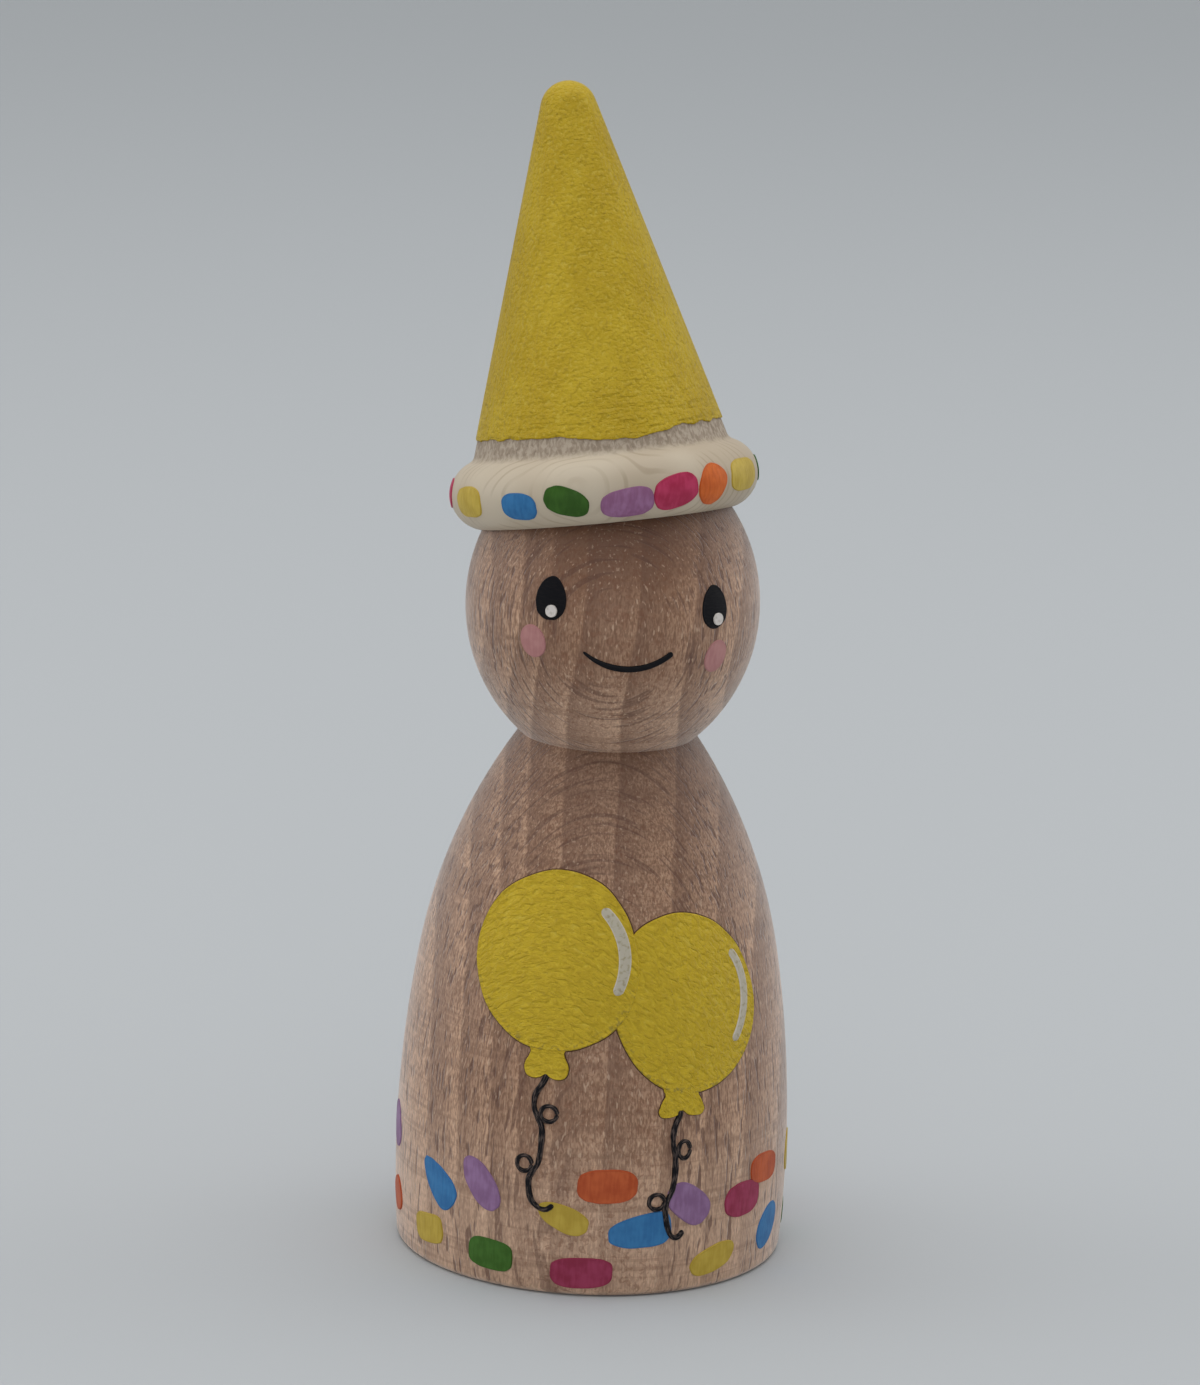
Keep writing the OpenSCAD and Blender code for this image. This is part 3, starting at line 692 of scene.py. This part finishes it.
def add_hat_coat():
    """The coat: an outer and an inner skin of the cone, whose lower edge is then drawn ragged."""
    out = around(flank_turn)
    low = Vector((flank_radius(HAT_COAT_Z), HAT_COAT_Z))
    middle = low + out * (HAT_COAT_T - BEDDING) / 2
    outer_tip = Arc(tip.centre, TIP_R + HAT_COAT_T, 90, flank_turn)
    inner_tip = Arc(tip.centre, TIP_R - BEDDING, flank_turn, 90)
    high = Vector((flank_radius(HAT_COAT_Z + COAT_REACH), HAT_COAT_Z + COAT_REACH))
    profile = Profile(outer_tip.point(90))
    profile.arc(outer_tip, 12)
    profile.line(high + out * HAT_COAT_T, 6)
    profile.line(low + out * HAT_COAT_T, 10)
    profile.arc(Arc(middle, (HAT_COAT_T + BEDDING) / 2, flank_turn, flank_turn - 180), 6)
    profile.line(high - out * BEDDING, 4)
    profile.line(inner_tip.point(flank_turn), 4)
    profile.arc(inner_tip, 8)
    shape = profile.turned(COAT_STEPS)
    for vert in shape.verts:
        share = 1 - max(0, vert.co.z - HAT_COAT_Z) / COAT_REACH
        if share > 0:
            turn = way_of((-vert.co.y, vert.co.x))
            drop = (HAT_COAT_Z - coat_edge(turn)) * share
            side = vert.co.xy.normalized() * drop * out.y / out.x
            vert.co += Vector((side.x, side.y, -drop))
    shape.transform(hat_place)
    add_piece(shape, "hat_paint", "hat", ["hat_coat"], "yellow_paint", sponged_yellow())


def on_turned(profile, turn, across, height, lift):
    """The point straight out from a turned surface's axis at a turn, moved across and lifted off it."""
    stretch = next(s for s in profile if s.holds(height))
    radius, out = stretch.at(height)
    depth = math.sqrt(radius**2 - across**2)
    way = Vector((out.x * across / radius, -out.x * depth / radius, out.y))
    return turn_about_z(turn) @ (Vector((across, -depth, height)) + lift * way)


def bent(amount, fullness):
    """A sine or cosine drawn out, so that a round outline fills more of its square."""
    return math.copysign(abs(amount) ** (1 / (1 + fullness)), amount)


def spun_by(point, degrees):
    return Matrix.Rotation(math.radians(degrees), 2) @ Vector(point)


def oval(length, width, tilt, taper=0, fullness=0.05, peaks=(), wobble=0.012, seed=0):
    """An outline by angle: a full oval, narrowed to one end, with peaks that reach out."""

    def outline(angle):
        way = around(angle)
        reach = 1 + wobble * noise.noise(Vector((3 * way.x, 3 * way.y, 7.3 + seed)))
        for at, rise in peaks:
            apart = (angle - at + 180) % 360 - 180
            reach += rise * math.exp(-((apart / 24) ** 2))
        c = bent(way.x, fullness)
        s = bent(way.y, fullness)
        return spun_by((reach * length / 2 * c, reach * width / 2 * s * (1 - taper * c)), tilt)

    return outline


def smooth_between(a, b, c, d, t):
    """Point on the smooth curve from b to c, which a and d lead into and out of."""
    return (
        b
        + t * (c - a) / 2
        + t**2 * (a - 2.5 * b + 2 * c - d / 2)
        + t**3 * (1.5 * (b - c) + (d - a) / 2)
    )


def closed_curve(points):
    """An outline by angle through a ring of points, which starts at the first."""
    ring = [Vector(p) for p in points]

    def outline(angle):
        place = (angle % 360) / 360 * len(ring)
        k = int(place)
        a, b, c, d = (ring[(k + i) % len(ring)] for i in (-1, 0, 1, 2))
        return smooth_between(a, b, c, d, place - k)

    return outline


# Cross-section of a film, from its middle to its edge: place, and lift as a share of the film.
# The place runs to 1 where the rim starts, to 2 at the edge and to 3 where its thin skirt ends.
FILM_SECTION = (
    *((k / 8, 1) for k in range(1, 9)),
    (1.25, 1.05), (1.45, 1.2), (1.6, 1.3), (1.75, 1.2), (1.87, 0.85), (1.95, 0.45), (2, 0.18),
    (3, 0.08), (3, -1), (1, -1),
)


def film(outline, steps, thickness, rim, place, bead=0.4, skirt=0.03):
    """A film of paint: a disc spun from its section, then drawn out to an outline and laid down."""
    profile = Profile((0, 1))
    for point in FILM_SECTION:
        profile.line(point)
    profile.line((0, -1))
    shape = profile.turned(steps)
    spot = shape.verts.layers.float_vector.new("spot")
    for vert in shape.verts:
        radial = vert.co.xy.length
        edge = outline(way_of(vert.co))
        inner = max(0, 1 - rim / edge.length)
        share = min(radial, 1) * inner + min(max(0, radial - 1), 1) * (1 - inner)
        beyond = max(0, radial - 2) * skirt
        local = edge * (share + beyond / edge.length)
        rise = min(vert.co.z, 1) + max(0, vert.co.z - 1) * bead
        lift = rise * (thickness if rise > 0 else BEDDING)
        vert[spot] = (local.x, local.y, (1 - share) * edge.length - beyond)
        vert.co = place(local.x, local.y, lift)
    return shape


def laid_on(profile, turn, height):
    """Where a flat outline's points land on a turned surface."""

    def place(across, up, lift):
        return on_turned(profile, turn, across, height + up, lift)

    return place


def joined(shapes):
    """Several shapes as one, with their marks kept."""
    whole = bmesh.new()
    for shape in shapes:
        part = bpy.data.meshes.new("part")
        shape.to_mesh(part)
        shape.free()
        whole.from_mesh(part)
        bpy.data.meshes.remove(part)
    return whole


class Route:
    """A smooth line through points, measured along its length."""

    def __init__(self, points, steps=8):
        points = [Vector(p) for p in points]
        ends = [2 * points[0] - points[1]] + points + [2 * points[-1] - points[-2]]
        self.points = [
            smooth_between(*ends[k : k + 4], j / steps) for k in range(len(points) - 1) for j in range(steps)
        ]
        self.points.append(points[-1])
        self.marks = [0]
        for a, b in zip(self.points, self.points[1:]):
            self.marks.append(self.marks[-1] + (b - a).length)
        self.length = self.marks[-1]

    def at(self, along):
        """Point and heading at a distance from the start."""
        along = min(max(along, 0), self.length)
        k = next(i for i, mark in enumerate(self.marks[1:]) if along <= mark + SNAP)
        share = (along - self.marks[k]) / (self.marks[k + 1] - self.marks[k])
        point = self.points[k].lerp(self.points[k + 1], share)
        return point, self.heading(k).lerp(self.heading(k + 1), share)

    def heading(self, k):
        low = max(0, k - 1)
        high = min(len(self.points) - 1, k + 1)
        return (self.points[high] - self.points[low]).normalized()


def stroke(route, width, thickness, place, swell=lambda share: 1, rounding=1):
    """A drawn line: a capsule spun from its section, then bent along a route and laid down."""
    half = width / 2
    cap = half * rounding
    profile = Profile((0, 0))
    profile.arc(Arc((0, cap), cap, -90, 0), LINE_CAP_STEPS)
    profile.line((cap, route.length - cap), math.ceil(route.length / half))
    profile.arc(Arc((0, route.length - cap), cap, 0, 90), LINE_CAP_STEPS)
    shape = profile.turned(LINE_SIDES)
    spot = shape.verts.layers.float_vector.new("spot")
    for vert in shape.verts:
        along = vert.co.z
        section = vert.co.xy / cap
        reach = half * swell(along / route.length)
        point, heading = route.at(along)
        across = section.x * reach
        local = point + across * Vector((-heading.y, heading.x))
        up = bent(section.y, LINE_FULLNESS)
        lift = up * (thickness if up > 0 else BEDDING)
        vert[spot] = (along, across, reach - abs(across))
        vert.co = place(local.x, local.y, lift)
    bmesh.ops.recalc_face_normals(shape, faces=shape.faces)
    return shape


def along_arc(radius, start, sweep, parts):
    """A route round an arc, through points that part it evenly."""
    return Route([radius * around(start + sweep * k / parts) for k in range(parts + 1)], 4)


# The face. Places are turns from the front and heights above the widest line of the head.
EYE = (3.1, 2.4)
LEFT_EYE = (-33, 2.4, 92)
RIGHT_EYE = (35.5, 1.8, 88)
GLINT_DROP = 0.88
GLINT_TURN = 1
GLINT_R = 0.46
CHEEK = (2.45, 2.1)
LEFT_CHEEK = (-39.7, -0.95, 110)
RIGHT_CHEEK = (37.2, -1.95, 75)
SMILE_R = 5.15
SMILE_SWEEP = 80
SMILE_TURN = -1.2
SMILE_DOWN = 2.5
SMILE_PARTS = 12


def on_head(turn, up):
    return laid_on(HEAD, turn, head_z + up)


def add_face():
    black = ink("face_black", 0.03)
    white = chalk_white("glint_white", shade(214, 208, 204), shade(192, 184, 176))
    pink = marker_paint("pink_paint", shade(184, 134, 131), shade(172, 120, 119))
    for side, (turn, up, tilt) in (("left", LEFT_EYE), ("right", RIGHT_EYE)):
        shape = oval(*EYE, tilt, 0.12, peaks=((0, 0.05),), wobble=0.03, seed=turn)
        eye = film(shape, DAB_STEPS, FACE_T, EYE_RIM, on_head(turn, up))
        add_piece(eye, f"{side}_eye_paint", "figure", [f"{side}_eye"], "black_paint", black)
        spot = oval(2 * GLINT_R, 2 * GLINT_R, 0, seed=turn)
        glint = film(spot, DAB_STEPS, OVERPAINT_T, FACE_RIM, on_head(turn + GLINT_TURN, up - GLINT_DROP))
        add_piece(glint, f"{side}_eye_white", "figure", [f"{side}_eye_glint"], "white_paint", white)
    for side, (turn, up, tilt) in (("left", LEFT_CHEEK), ("right", RIGHT_CHEEK)):
        cheek = film(oval(*CHEEK, tilt, seed=turn), DAB_STEPS, DAB_T, FACE_RIM, on_head(turn, up))
        add_piece(cheek, f"{side}_cheek_paint", "figure", [f"{side}_cheek"], "pink_paint", pink)
    add_smile(black)


def add_smile(black):
    start = -90 - SMILE_SWEEP / 2
    route = along_arc(SMILE_R, start, SMILE_SWEEP, SMILE_PARTS)
    line = stroke(route, LINE_W, LINE_T, on_head(SMILE_TURN, SMILE_R - SMILE_DOWN), smile_swell)
    add_piece(line, "smile_line", "figure", ["smile"], "black_paint", black)


def smile_swell(share):
    """The pen started fine at the left, pressed on past the middle and stopped blunt."""
    return 0.45 + 0.55 * min(1, share / 0.3) + 0.12 * math.sin(math.pi * share)


# The balloons: width, height, turn, height of the middle, tilt and taper
LEFT_BALLOON = (12.3, 13.1, -23.2, 25.3, 15, -0.06)
RIGHT_BALLOON = (12, 13.5, 22.4, 22.4, 22, 0.07)
LEFT_BALLOON_T = 0.14
RIGHT_BALLOON_T = 0.1
SHINE_INSET = 0.85
LEFT_SHINE = (-23, 52, 0.95)
RIGHT_SHINE = (-41, 41, 0.8)
SHINE_PARTS = 10

# How far the rim of a balloon and of a knot bulges, and how far their thin dark skirt reaches; the skirt's
# dark colour is partly painted contact shade
BALLOON_BEAD = 1.2
KNOT_BEAD = 0.4
BALLOON_SKIRT = 0.07

# The knots: width, height below the balloon, and turn from the balloon
LEFT_KNOT = (3.4, 2, 0.9)
RIGHT_KNOT = (3.8, 1.7, -3.5)

# Lift of a knot's film as a share, how much of it the top loses, and over what length
KNOT_LIFT = 1.3
KNOT_DIP = 0.6
KNOT_SINK = 0.7

# Right half of a knot from the balloon down: shares of its width across and of its height down
LEFT_KNOT_SHARES = (
    (0.37, -0.35), (0.38, 0), (0.42, 0.2), (0.485, 0.42), (0.5, 0.65), (0.44, 0.9), (0.29, 1),
    (0.13, 0.95), (0, 0.82),
)
RIGHT_KNOT_SHARES = (
    (0.35, -0.4), (0.36, 0), (0.42, 0.25), (0.47, 0.5), (0.5, 0.76), (0.43, 0.97), (0.28, 1),
    (0.13, 0.93), (0, 0.72),
)


def knot_outline(knot, half_shares):
    width, height = knot[:2]
    right = [(x * width, -y * height) for x, y in half_shares]
    left = [(-x, y) for x, y in right[-2::-1]]
    return closed_curve([(x, y + height / 2) for x, y in right + left][::-1])


def sunk_top(place, start):
    """Lays a knot a little proud of its balloon, and lets its top dive under the balloon's paint."""

    def sunk(across, up, lift):
        dive = min(max(0, up - start) / KNOT_SINK, 1)
        return place(across, up, lift * (KNOT_LIFT - KNOT_DIP * dive) if lift > 0 else lift)

    return sunk


def add_balloon(side, balloon, thickness, knot, half_shares, shine, paint, white):
    width, height, turn, middle, tilt, taper = balloon
    if side == "left":
        outline = oval(width, height, tilt, taper, peaks=((-40, 0.03),), wobble=0.01, seed=2)
    else:
        outline = oval(height, width, 90 + tilt, taper, wobble=0.01, seed=5)
    place = laid_on(BODY, turn, middle)
    skin = film(outline, BALLOON_STEPS, thickness, BALLOON_RIM, place, BALLOON_BEAD, BALLOON_SKIRT)
    knot_place = laid_on(BODY, turn + knot[2], middle - height / 2 - knot[1] / 2)
    knot_place = sunk_top(knot_place, knot[1] / 2 - 0.1)
    shape = knot_outline(knot, half_shares)
    knot_skin = film(shape, DAB_STEPS * 2, thickness, KNOT_RIM, knot_place, KNOT_BEAD, BALLOON_SKIRT)
    name = f"{side}_balloon"
    add_piece(joined([skin, knot_skin]), f"{name}_paint", "figure", [name], "yellow_paint", paint)
    start, end, shine_w = shine
    radius = width / 2 - SHINE_INSET
    route = along_arc(radius, start, end - start, SHINE_PARTS)
    line = stroke(route, shine_w, OVERPAINT_T, place, shine_swell)
    add_piece(line, f"{name}_white", "figure", [f"{name}_shine"], "white_paint", white)


def shine_swell(share):
    """A shine is fullest a little above its middle."""
    return 0.78 + 0.22 * math.sin(math.pi * min(1, 0.15 + 0.8 * share))


def add_balloons():
    white = chalk_white("shine_white", shade(184, 177, 160), shade(158, 148, 122))
    left_yellow = brushed_yellow("left_balloon_yellow", 0, 0.07)
    left = (LEFT_BALLOON, LEFT_BALLOON_T, LEFT_KNOT, LEFT_KNOT_SHARES, LEFT_SHINE)
    add_balloon("left", *left, left_yellow, white)
    right_yellow = brushed_yellow("right_balloon_yellow", -40, 0)
    right = (RIGHT_BALLOON, RIGHT_BALLOON_T, RIGHT_KNOT, RIGHT_KNOT_SHARES, RIGHT_SHINE)
    add_balloon("right", *right, right_yellow, white)


# The strings: fall, turn from their balloon, start as a share of the knot, and their routes, across
# and down as shares of the fall. A loop's row holds the place of its middle, and its width and
# height as shares of a common loop's.
LEFT_FALL = 10.4
LEFT_STRING_TURN = -0.3
LEFT_START_SHARE = 0.8
LEFT_ROUTE_SHARES = (
    (0.04, 0), (0.012, 0.07), (-0.036, 0.155), (-0.041, 0.25), (-0.01, 0.325), (0.023, 0.395),
    (0.026, 0.49), (0.019, 0.595), (0.005, 0.67), (-0.035, 0.735), (-0.055, 0.78), (-0.053, 0.855),
    (-0.033, 0.935), (0.016, 0.985), (0.079, 1), (0.133, 0.96),
)
LEFT_LOOPS = ((0.068, 0.291, 1.05, 1), (-0.095, 0.674, 0.95, 1))
RIGHT_FALL = 9.95
RIGHT_STRING_TURN = -4.4
RIGHT_START_SHARE = 0.7
RIGHT_ROUTE_SHARES = (
    (0.011, 0), (0, 0.045), (-0.023, 0.09), (-0.045, 0.165), (-0.049, 0.225), (-0.043, 0.28),
    (-0.028, 0.35), (-0.025, 0.45), (-0.03, 0.535), (-0.048, 0.625), (-0.079, 0.69), (-0.097, 0.755),
    (-0.089, 0.83), (-0.072, 0.905), (-0.046, 0.97), (-0.004, 1), (0.036, 0.98), (0.057, 0.945),
)
RIGHT_LOOPS = ((0.047, 0.309, 0.8, 1.12), (-0.166, 0.701, 1, 0.98))
LOOP_R = 0.6
LOOP_LINE_W = 0.32

# Round a loop and back to its start, in degrees
LOOP_WAYS = range(0, 370, 18)


def add_string(side, balloon, knot, string, black):
    height, turn, middle = balloon[1:4]
    string_turn, start_share, fall, route_shares, loops = string
    top = middle - height / 2 - start_share * knot[1]
    place = laid_on(BODY, turn + string_turn, top)
    route = Route([(x * fall, -y * fall) for x, y in route_shares], 5)
    lines = [stroke(route, LINE_W, OVERPAINT_T, place, pen_swell)]
    for x, y, wide, tall in loops:
        centre = Vector((x * fall, -y * fall))
        ring = [centre + LOOP_R * Vector((wide * way.x, tall * way.y)) for way in map(around, LOOP_WAYS)]
        lines.append(stroke(Route(ring, 3), LOOP_LINE_W, LINE_T, place, pen_swell))
    add_piece(joined(lines), f"{side}_string_line", "figure", [f"{side}_string"], "black_paint", black)


def pen_swell(share):
    """The pen pressed unevenly along a string."""
    return 1.04 + 0.1 * math.sin(19 * share) + 0.07 * math.sin(47 * share + 1)


def add_strings():
    black = ink("string_black", 0.65)
    left = (LEFT_STRING_TURN, LEFT_START_SHARE, LEFT_FALL, LEFT_ROUTE_SHARES, LEFT_LOOPS)
    right = (RIGHT_STRING_TURN, RIGHT_START_SHARE, RIGHT_FALL, RIGHT_ROUTE_SHARES, RIGHT_LOOPS)
    add_string("left", LEFT_BALLOON, LEFT_KNOT, left, black)
    add_string("right", RIGHT_BALLOON, RIGHT_KNOT, right, black)


# Confetti by colour. On the body a row holds a turn, a height as a share of the band, length and
# width as shares of a common dab, tilt, taper, fullness, and peaks as angles and how far they rise.
BODY_CONFETTI = {
    "blue": (
        (-57.5, 0.695, 1.08, 1.04, -40, -0.3, 0.15, ((180, 0.06), (-40, 0.08))),
        (7.2, 0.52, 1.22, 1.06, 8, -0.2, 0.4, ((35, 0.06),)),
        (57.5, 0.34, 0.9, 1.14, 46, 0, 0.1, ((0, 0.1), (200, 0.06))),
        (132, 0.71, 1.12, 1, -35, -0.1, 0.2, ()),
        (196, 0.3, 1.1, 1.04, 12, 0.1, 0.3, ()),
        (247, 0.8, 1, 0.96, 40, 0, 0.2, ((0, 0.08),)),
    ),
    "lilac": (
        (-40.8, 0.785, 1.1, 1, -52, 0, 0.1, ((180, 0.08),)),
        (22.2, 0.71, 1, 1.08, -38, 0, 0.3, ((180, 0.05), (-60, 0.04))),
        (-88.5, 0.92, 0.9, 1, -60, 0, 0.2, ()),
        (105, 0.45, 1.1, 1, 20, 0, 0.2, ()),
        (165, 0.76, 1.05, 1.04, -48, 0, 0.2, ((0, 0.06),)),
        (226, 0.27, 1.1, 1, 5, 0, 0.4, ()),
    ),
    "yellow": (
        (-61.8, 0.295, 0.86, 0.96, 8, 0, 0.5, ((45, 0.08), (135, 0.08))),
        (-15.2, 0.615, 0.98, 0.83, -22, -0.12, 0.2, ((175, 0.06),)),
        (31.4, 0.23, 1.03, 0.88, 15, -0.05, 0.2, ((12, 0.12),)),
        (78, 0.79, 0.8, 1, 70, 0, 0.3, ()),
        (149, 0.31, 1, 0.92, 18, 0, 0.2, ()),
        (213, 0.77, 1, 0.9, -25, 0, 0.2, ((180, 0.08),)),
    ),
    "green": (
        (-37.4, 0.25, 0.95, 1, -3, 0, 0.6, ()),
        (90, 0.24, 1, 1.04, 4, 0, 0.4, ()),
        (181, 0.66, 0.95, 1.04, 60, 0, 0.3, ()),
        (249, 0.41, 0.92, 1, -14, 0, 0.4, ()),
    ),
    "magenta": (
        (-9.5, 0.19, 1.15, 1, 2, 0, 0.5, ((28, 0.04), (152, 0.04))),
        (42.6, 0.65, 1, 1.12, 0, 0, 0.2, ((38, 0.08),)),
        (115, 0.79, 1.08, 1, 30, 0, 0.2, ()),
        (171, 0.2, 1.15, 1, -4, 0, 0.5, ()),
        (229, 0.62, 0.95, 1.08, -50, 0, 0.2, ((0, 0.08),)),
    ),
    "orange": (
        (-2.9, 0.88, 1.12, 1.08, 2, 0, 0.45, ()),
        (53.2, 0.835, 0.95, 0.96, -5, 0, 0.3, ((35, 0.06),)),
        (-85, 0.39, 0.66, 0.92, -60, 0, 0.2, ()),
        (122, 0.24, 1.12, 1.04, 0, 0, 0.4, ()),
        (198, 0.88, 1.08, 1.04, 8, 0, 0.4, ()),
    ),
}

# On the brim a height is a share of the brim's.
BRIM_CONFETTI = {
    "yellow": (
        (-69, 0.462, 1, 1.04, 0, 0, 0.4, ()),
        (58, 0.49, 1.16, 1.08, 0, 0, 0.5, ()),
        (176, 0.45, 1.04, 1.04, 0, 0, 0.3, ()),
    ),
    "blue": (
        (-41.2, 0.368, 0.83, 0.91, -6, 0, 0.3, ((150, 0.03),)),
        (103, 0.42, 0.95, 1, -8, 0, 0.2, ()),
        (194, 0.37, 0.92, 0.95, 8, 0, 0.2, ()),
    ),
    "green": (
        (-21.6, 0.387, 0.94, 0.93, -20, 0.08, 0.25, ((165, 0.05),)),
        (86, 0.52, 0.84, 0.9, 0, 0, 0.2, ()),
        (211.5, 0.43, 1, 0.98, -12, 0, 0.2, ()),
    ),
    "lilac": (
        (1, 0.302, 1.1, 0.95, 4, -0.1, 0.4, ()),
        (122, 0.36, 1.1, 0.95, 6, 0, 0.3, ()),
        (230.5, 0.38, 1.08, 0.95, 0, 0, 0.3, ()),
    ),
    "magenta": (
        (20.4, 0.387, 1.02, 1.12, 12, 0, 0.3, ()),
        (141, 0.44, 0.98, 1.08, -10, 0, 0.2, ()),
        (264.5, 0.57, 0.84, 1, 0, 0, 0.2, ()),
    ),
    "orange": (
        (37.2, 0.425, 0.83, 1.2, 60, 0, 0.2, ()),
        (158, 0.38, 0.9, 1.1, 20, 0, 0.2, ()),
        (248, 0.45, 0.86, 1.08, -20, 0, 0.2, ()),
    ),
}

# Pale and deep tone of each colour of confetti on the body, then on the brim, and the record's name for its
# paint.
# The brim's tones differ partly for the paler wood beneath the ink and partly as painted light, matched to
# how brightly each colour's dabs were lit
CONFETTI_PAINT = {
    "blue": (
        (shade(58, 122, 175), shade(46, 105, 159)),
        (shade(54, 118, 171), shade(42, 102, 154)),
        "blue_paint",
    ),
    "lilac": (
        (shade(149, 116, 155), shade(130, 96, 133)),
        (shade(158, 112, 150), shade(140, 92, 128)),
        "lilac_paint",
    ),
    "yellow": (
        (shade(192, 166, 70), shade(176, 150, 56)),
        (shade(198, 172, 72), shade(182, 155, 56)),
        "pale_yellow_paint",
    ),
    "green": (
        (shade(68, 110, 43), shade(56, 94, 31)),
        (shade(58, 98, 32), shade(46, 82, 22)),
        "green_paint",
    ),
    "magenta": (
        (shade(157, 58, 90), shade(137, 42, 69)),
        (shade(187, 60, 97), shade(165, 43, 76)),
        "magenta_paint",
    ),
    "orange": (
        (shade(190, 92, 50), shade(169, 73, 36)),
        (shade(211, 107, 44), shade(189, 86, 32)),
        "orange_paint",
    ),
}


def dab(row, size, thickness, band, place):
    turn, height, length, width, tilt, taper, fullness, peaks = row
    outline = oval(length * size[0], width * size[1], tilt, taper, fullness, peaks, 0.03, turn)
    return film(outline, DAB_STEPS, thickness, DAB_RIM, place(turn, height * band))


def on_body(turn, height):
    return laid_on(BODY, turn, height)


def on_brim(turn, height):
    return laid_on(BRIM, turn, height)


def add_confetti():
    for k, (colour, (on_beech, brim_tones_and_light, slot)) in enumerate(CONFETTI_PAINT.items()):
        thickness = DAB_T + k * DAB_STEP
        dabs = [dab(row, BODY_DAB, thickness, CONFETTI_H, on_body) for row in BODY_CONFETTI[colour]]
        node = f"{colour}_body_confetti"
        paint = marker_paint(f"{colour}_body_paint", *on_beech)
        add_piece(joined(dabs), f"{node}_paint", "figure", [node], slot, paint)
        dabs = [dab(row, BRIM_DAB, thickness, 2 * BEAD_R, on_brim) for row in BRIM_CONFETTI[colour]]
        node = f"{colour}_brim_confetti"
        ring = joined(dabs)
        ring.transform(hat_place)
        # The brim's tones: partly the paler wood beneath the ink, partly painted light
        paint = marker_paint(f"{colour}_brim_paint", *brim_tones_and_light)
        add_piece(ring, f"{node}_paint", "hat", [node], slot, paint)


# The studio: floor, light and camera, in metres
CAMERA_AT = (-0.06465, -0.45502, 0.15576)
CAMERA_TURN = -8
CAMERA_DOWN = 13.78
CAMERA_ROLL = 2.28
LENS = 162.7
SENSOR = 36
FLOOR_SIZE = 8
# The floor's paper darkens further back: painted shade for light falling off away from the doll
FLOOR_NEAR = shade(183, 187, 190)
FLOOR_FAR_SHADE = shade(158, 162, 165)
FLOOR_FADE = (0.1, 0.8)

# The sky's level low down, and what is added overhead and behind
SKY_LOW = 0.12
SKY_OVERHEAD = 1.25
SKY_BEHIND = 0.35

# The lamp overhead: its place, the point it shines on, its size and its power
LAMP_AT = (0, 0, 0.7)
LAMP_AIM = (0, 0, 0.04)
LAMP_SIZE = 0.4
LAMP_WATTS = 0.3

# Softboxes, far off in the sky because a lamp so low would cut the floor: way there, and level
SOFTBOXES = (
    ((-0.97, 0.19, 0.15), 1.9),
    ((0.97, 0.19, 0.15), 1.5),
    ((-0.13, -0.99, 0.03), 2.6),
)


def add_floor():
    shape = bmesh.new()
    bmesh.ops.create_grid(shape, x_segments=8, y_segments=8, size=FLOOR_SIZE / 2)
    mesh = bpy.data.meshes.new("floor")
    shape.to_mesh(mesh)
    shape.free()
    paper = Finish("studio_paper")
    where = paper.node("ShaderNodeTexCoord", {}, {}, "Object")
    y = paper.parts(where)[1]
    # Darker further back: painted shade
    colour = paper.mix(FLOOR_NEAR, FLOOR_FAR_SHADE, paper.between(y, *FLOOR_FADE))
    mesh.materials.append(paper.close(colour, 0.9, 0))
    floor = bpy.data.objects.new("floor", mesh)
    bpy.context.scene.collection.objects.link(floor)


def add_lamp(name, place, aim, size, power):
    light = bpy.data.lights.new(name, "AREA")
    light.shape = "DISK"
    light.size = size
    light.energy = power
    lamp = bpy.data.objects.new(name, light)
    lamp.location = place
    lamp.rotation_euler = (Vector(aim) - Vector(place)).to_track_quat("-Z", "Y").to_euler()
    bpy.context.scene.collection.objects.link(lamp)


def add_light():
    """A light box: brightest overhead and behind, with softboxes at the sides and low in front."""
    world = bpy.data.worlds.new("light_box")
    world.use_nodes = True
    bpy.context.scene.world = world
    sky = Nodes(world.node_tree)
    where = sky.node("ShaderNodeTexCoord", {}, {}, "Generated")
    x, y, z = sky.parts(where)
    overhead = sky.between(z, 0.5, 0.95)
    behind = sky.between(y, -0.5, 0.5)
    level = SKY_LOW + SKY_OVERHEAD * overhead + SKY_BEHIND * behind
    unseen = 1 - sky.node("ShaderNodeLightPath", {}, {}, "Is Camera Ray")
    for way, brightness in SOFTBOXES:
        towards = x * way[0] + y * way[1] + z * way[2]
        level = level + sky.between(towards, 0.9, 0.96) * brightness * unseen
    background = world.node_tree.nodes["Background"]
    sky.feed(background.inputs["Strength"], level)
    sky.feed(background.inputs["Color"], (1, 1, 1, 1))
    add_lamp("top_softbox", LAMP_AT, LAMP_AIM, LAMP_SIZE, LAMP_WATTS)


def add_camera():
    camera = bpy.data.cameras.new("camera")
    camera.lens = LENS
    camera.sensor_width = SENSOR
    holder = bpy.data.objects.new("camera", camera)
    holder.matrix_world = (
        Matrix.Translation(CAMERA_AT)
        @ turn_about_z(CAMERA_TURN)
        @ Matrix.Rotation(math.radians(90 - CAMERA_DOWN), 4, "X")
        @ turn_about_z(CAMERA_ROLL)
    )
    bpy.context.scene.collection.objects.link(holder)
    bpy.context.scene.camera = holder


add_camera()
add_light()
add_floor()
add_figure()
add_hat()
add_hat_coat()
add_face()
add_balloons()
add_strings()
add_confetti()

bpy.context.scene.view_settings.view_transform = "Standard"
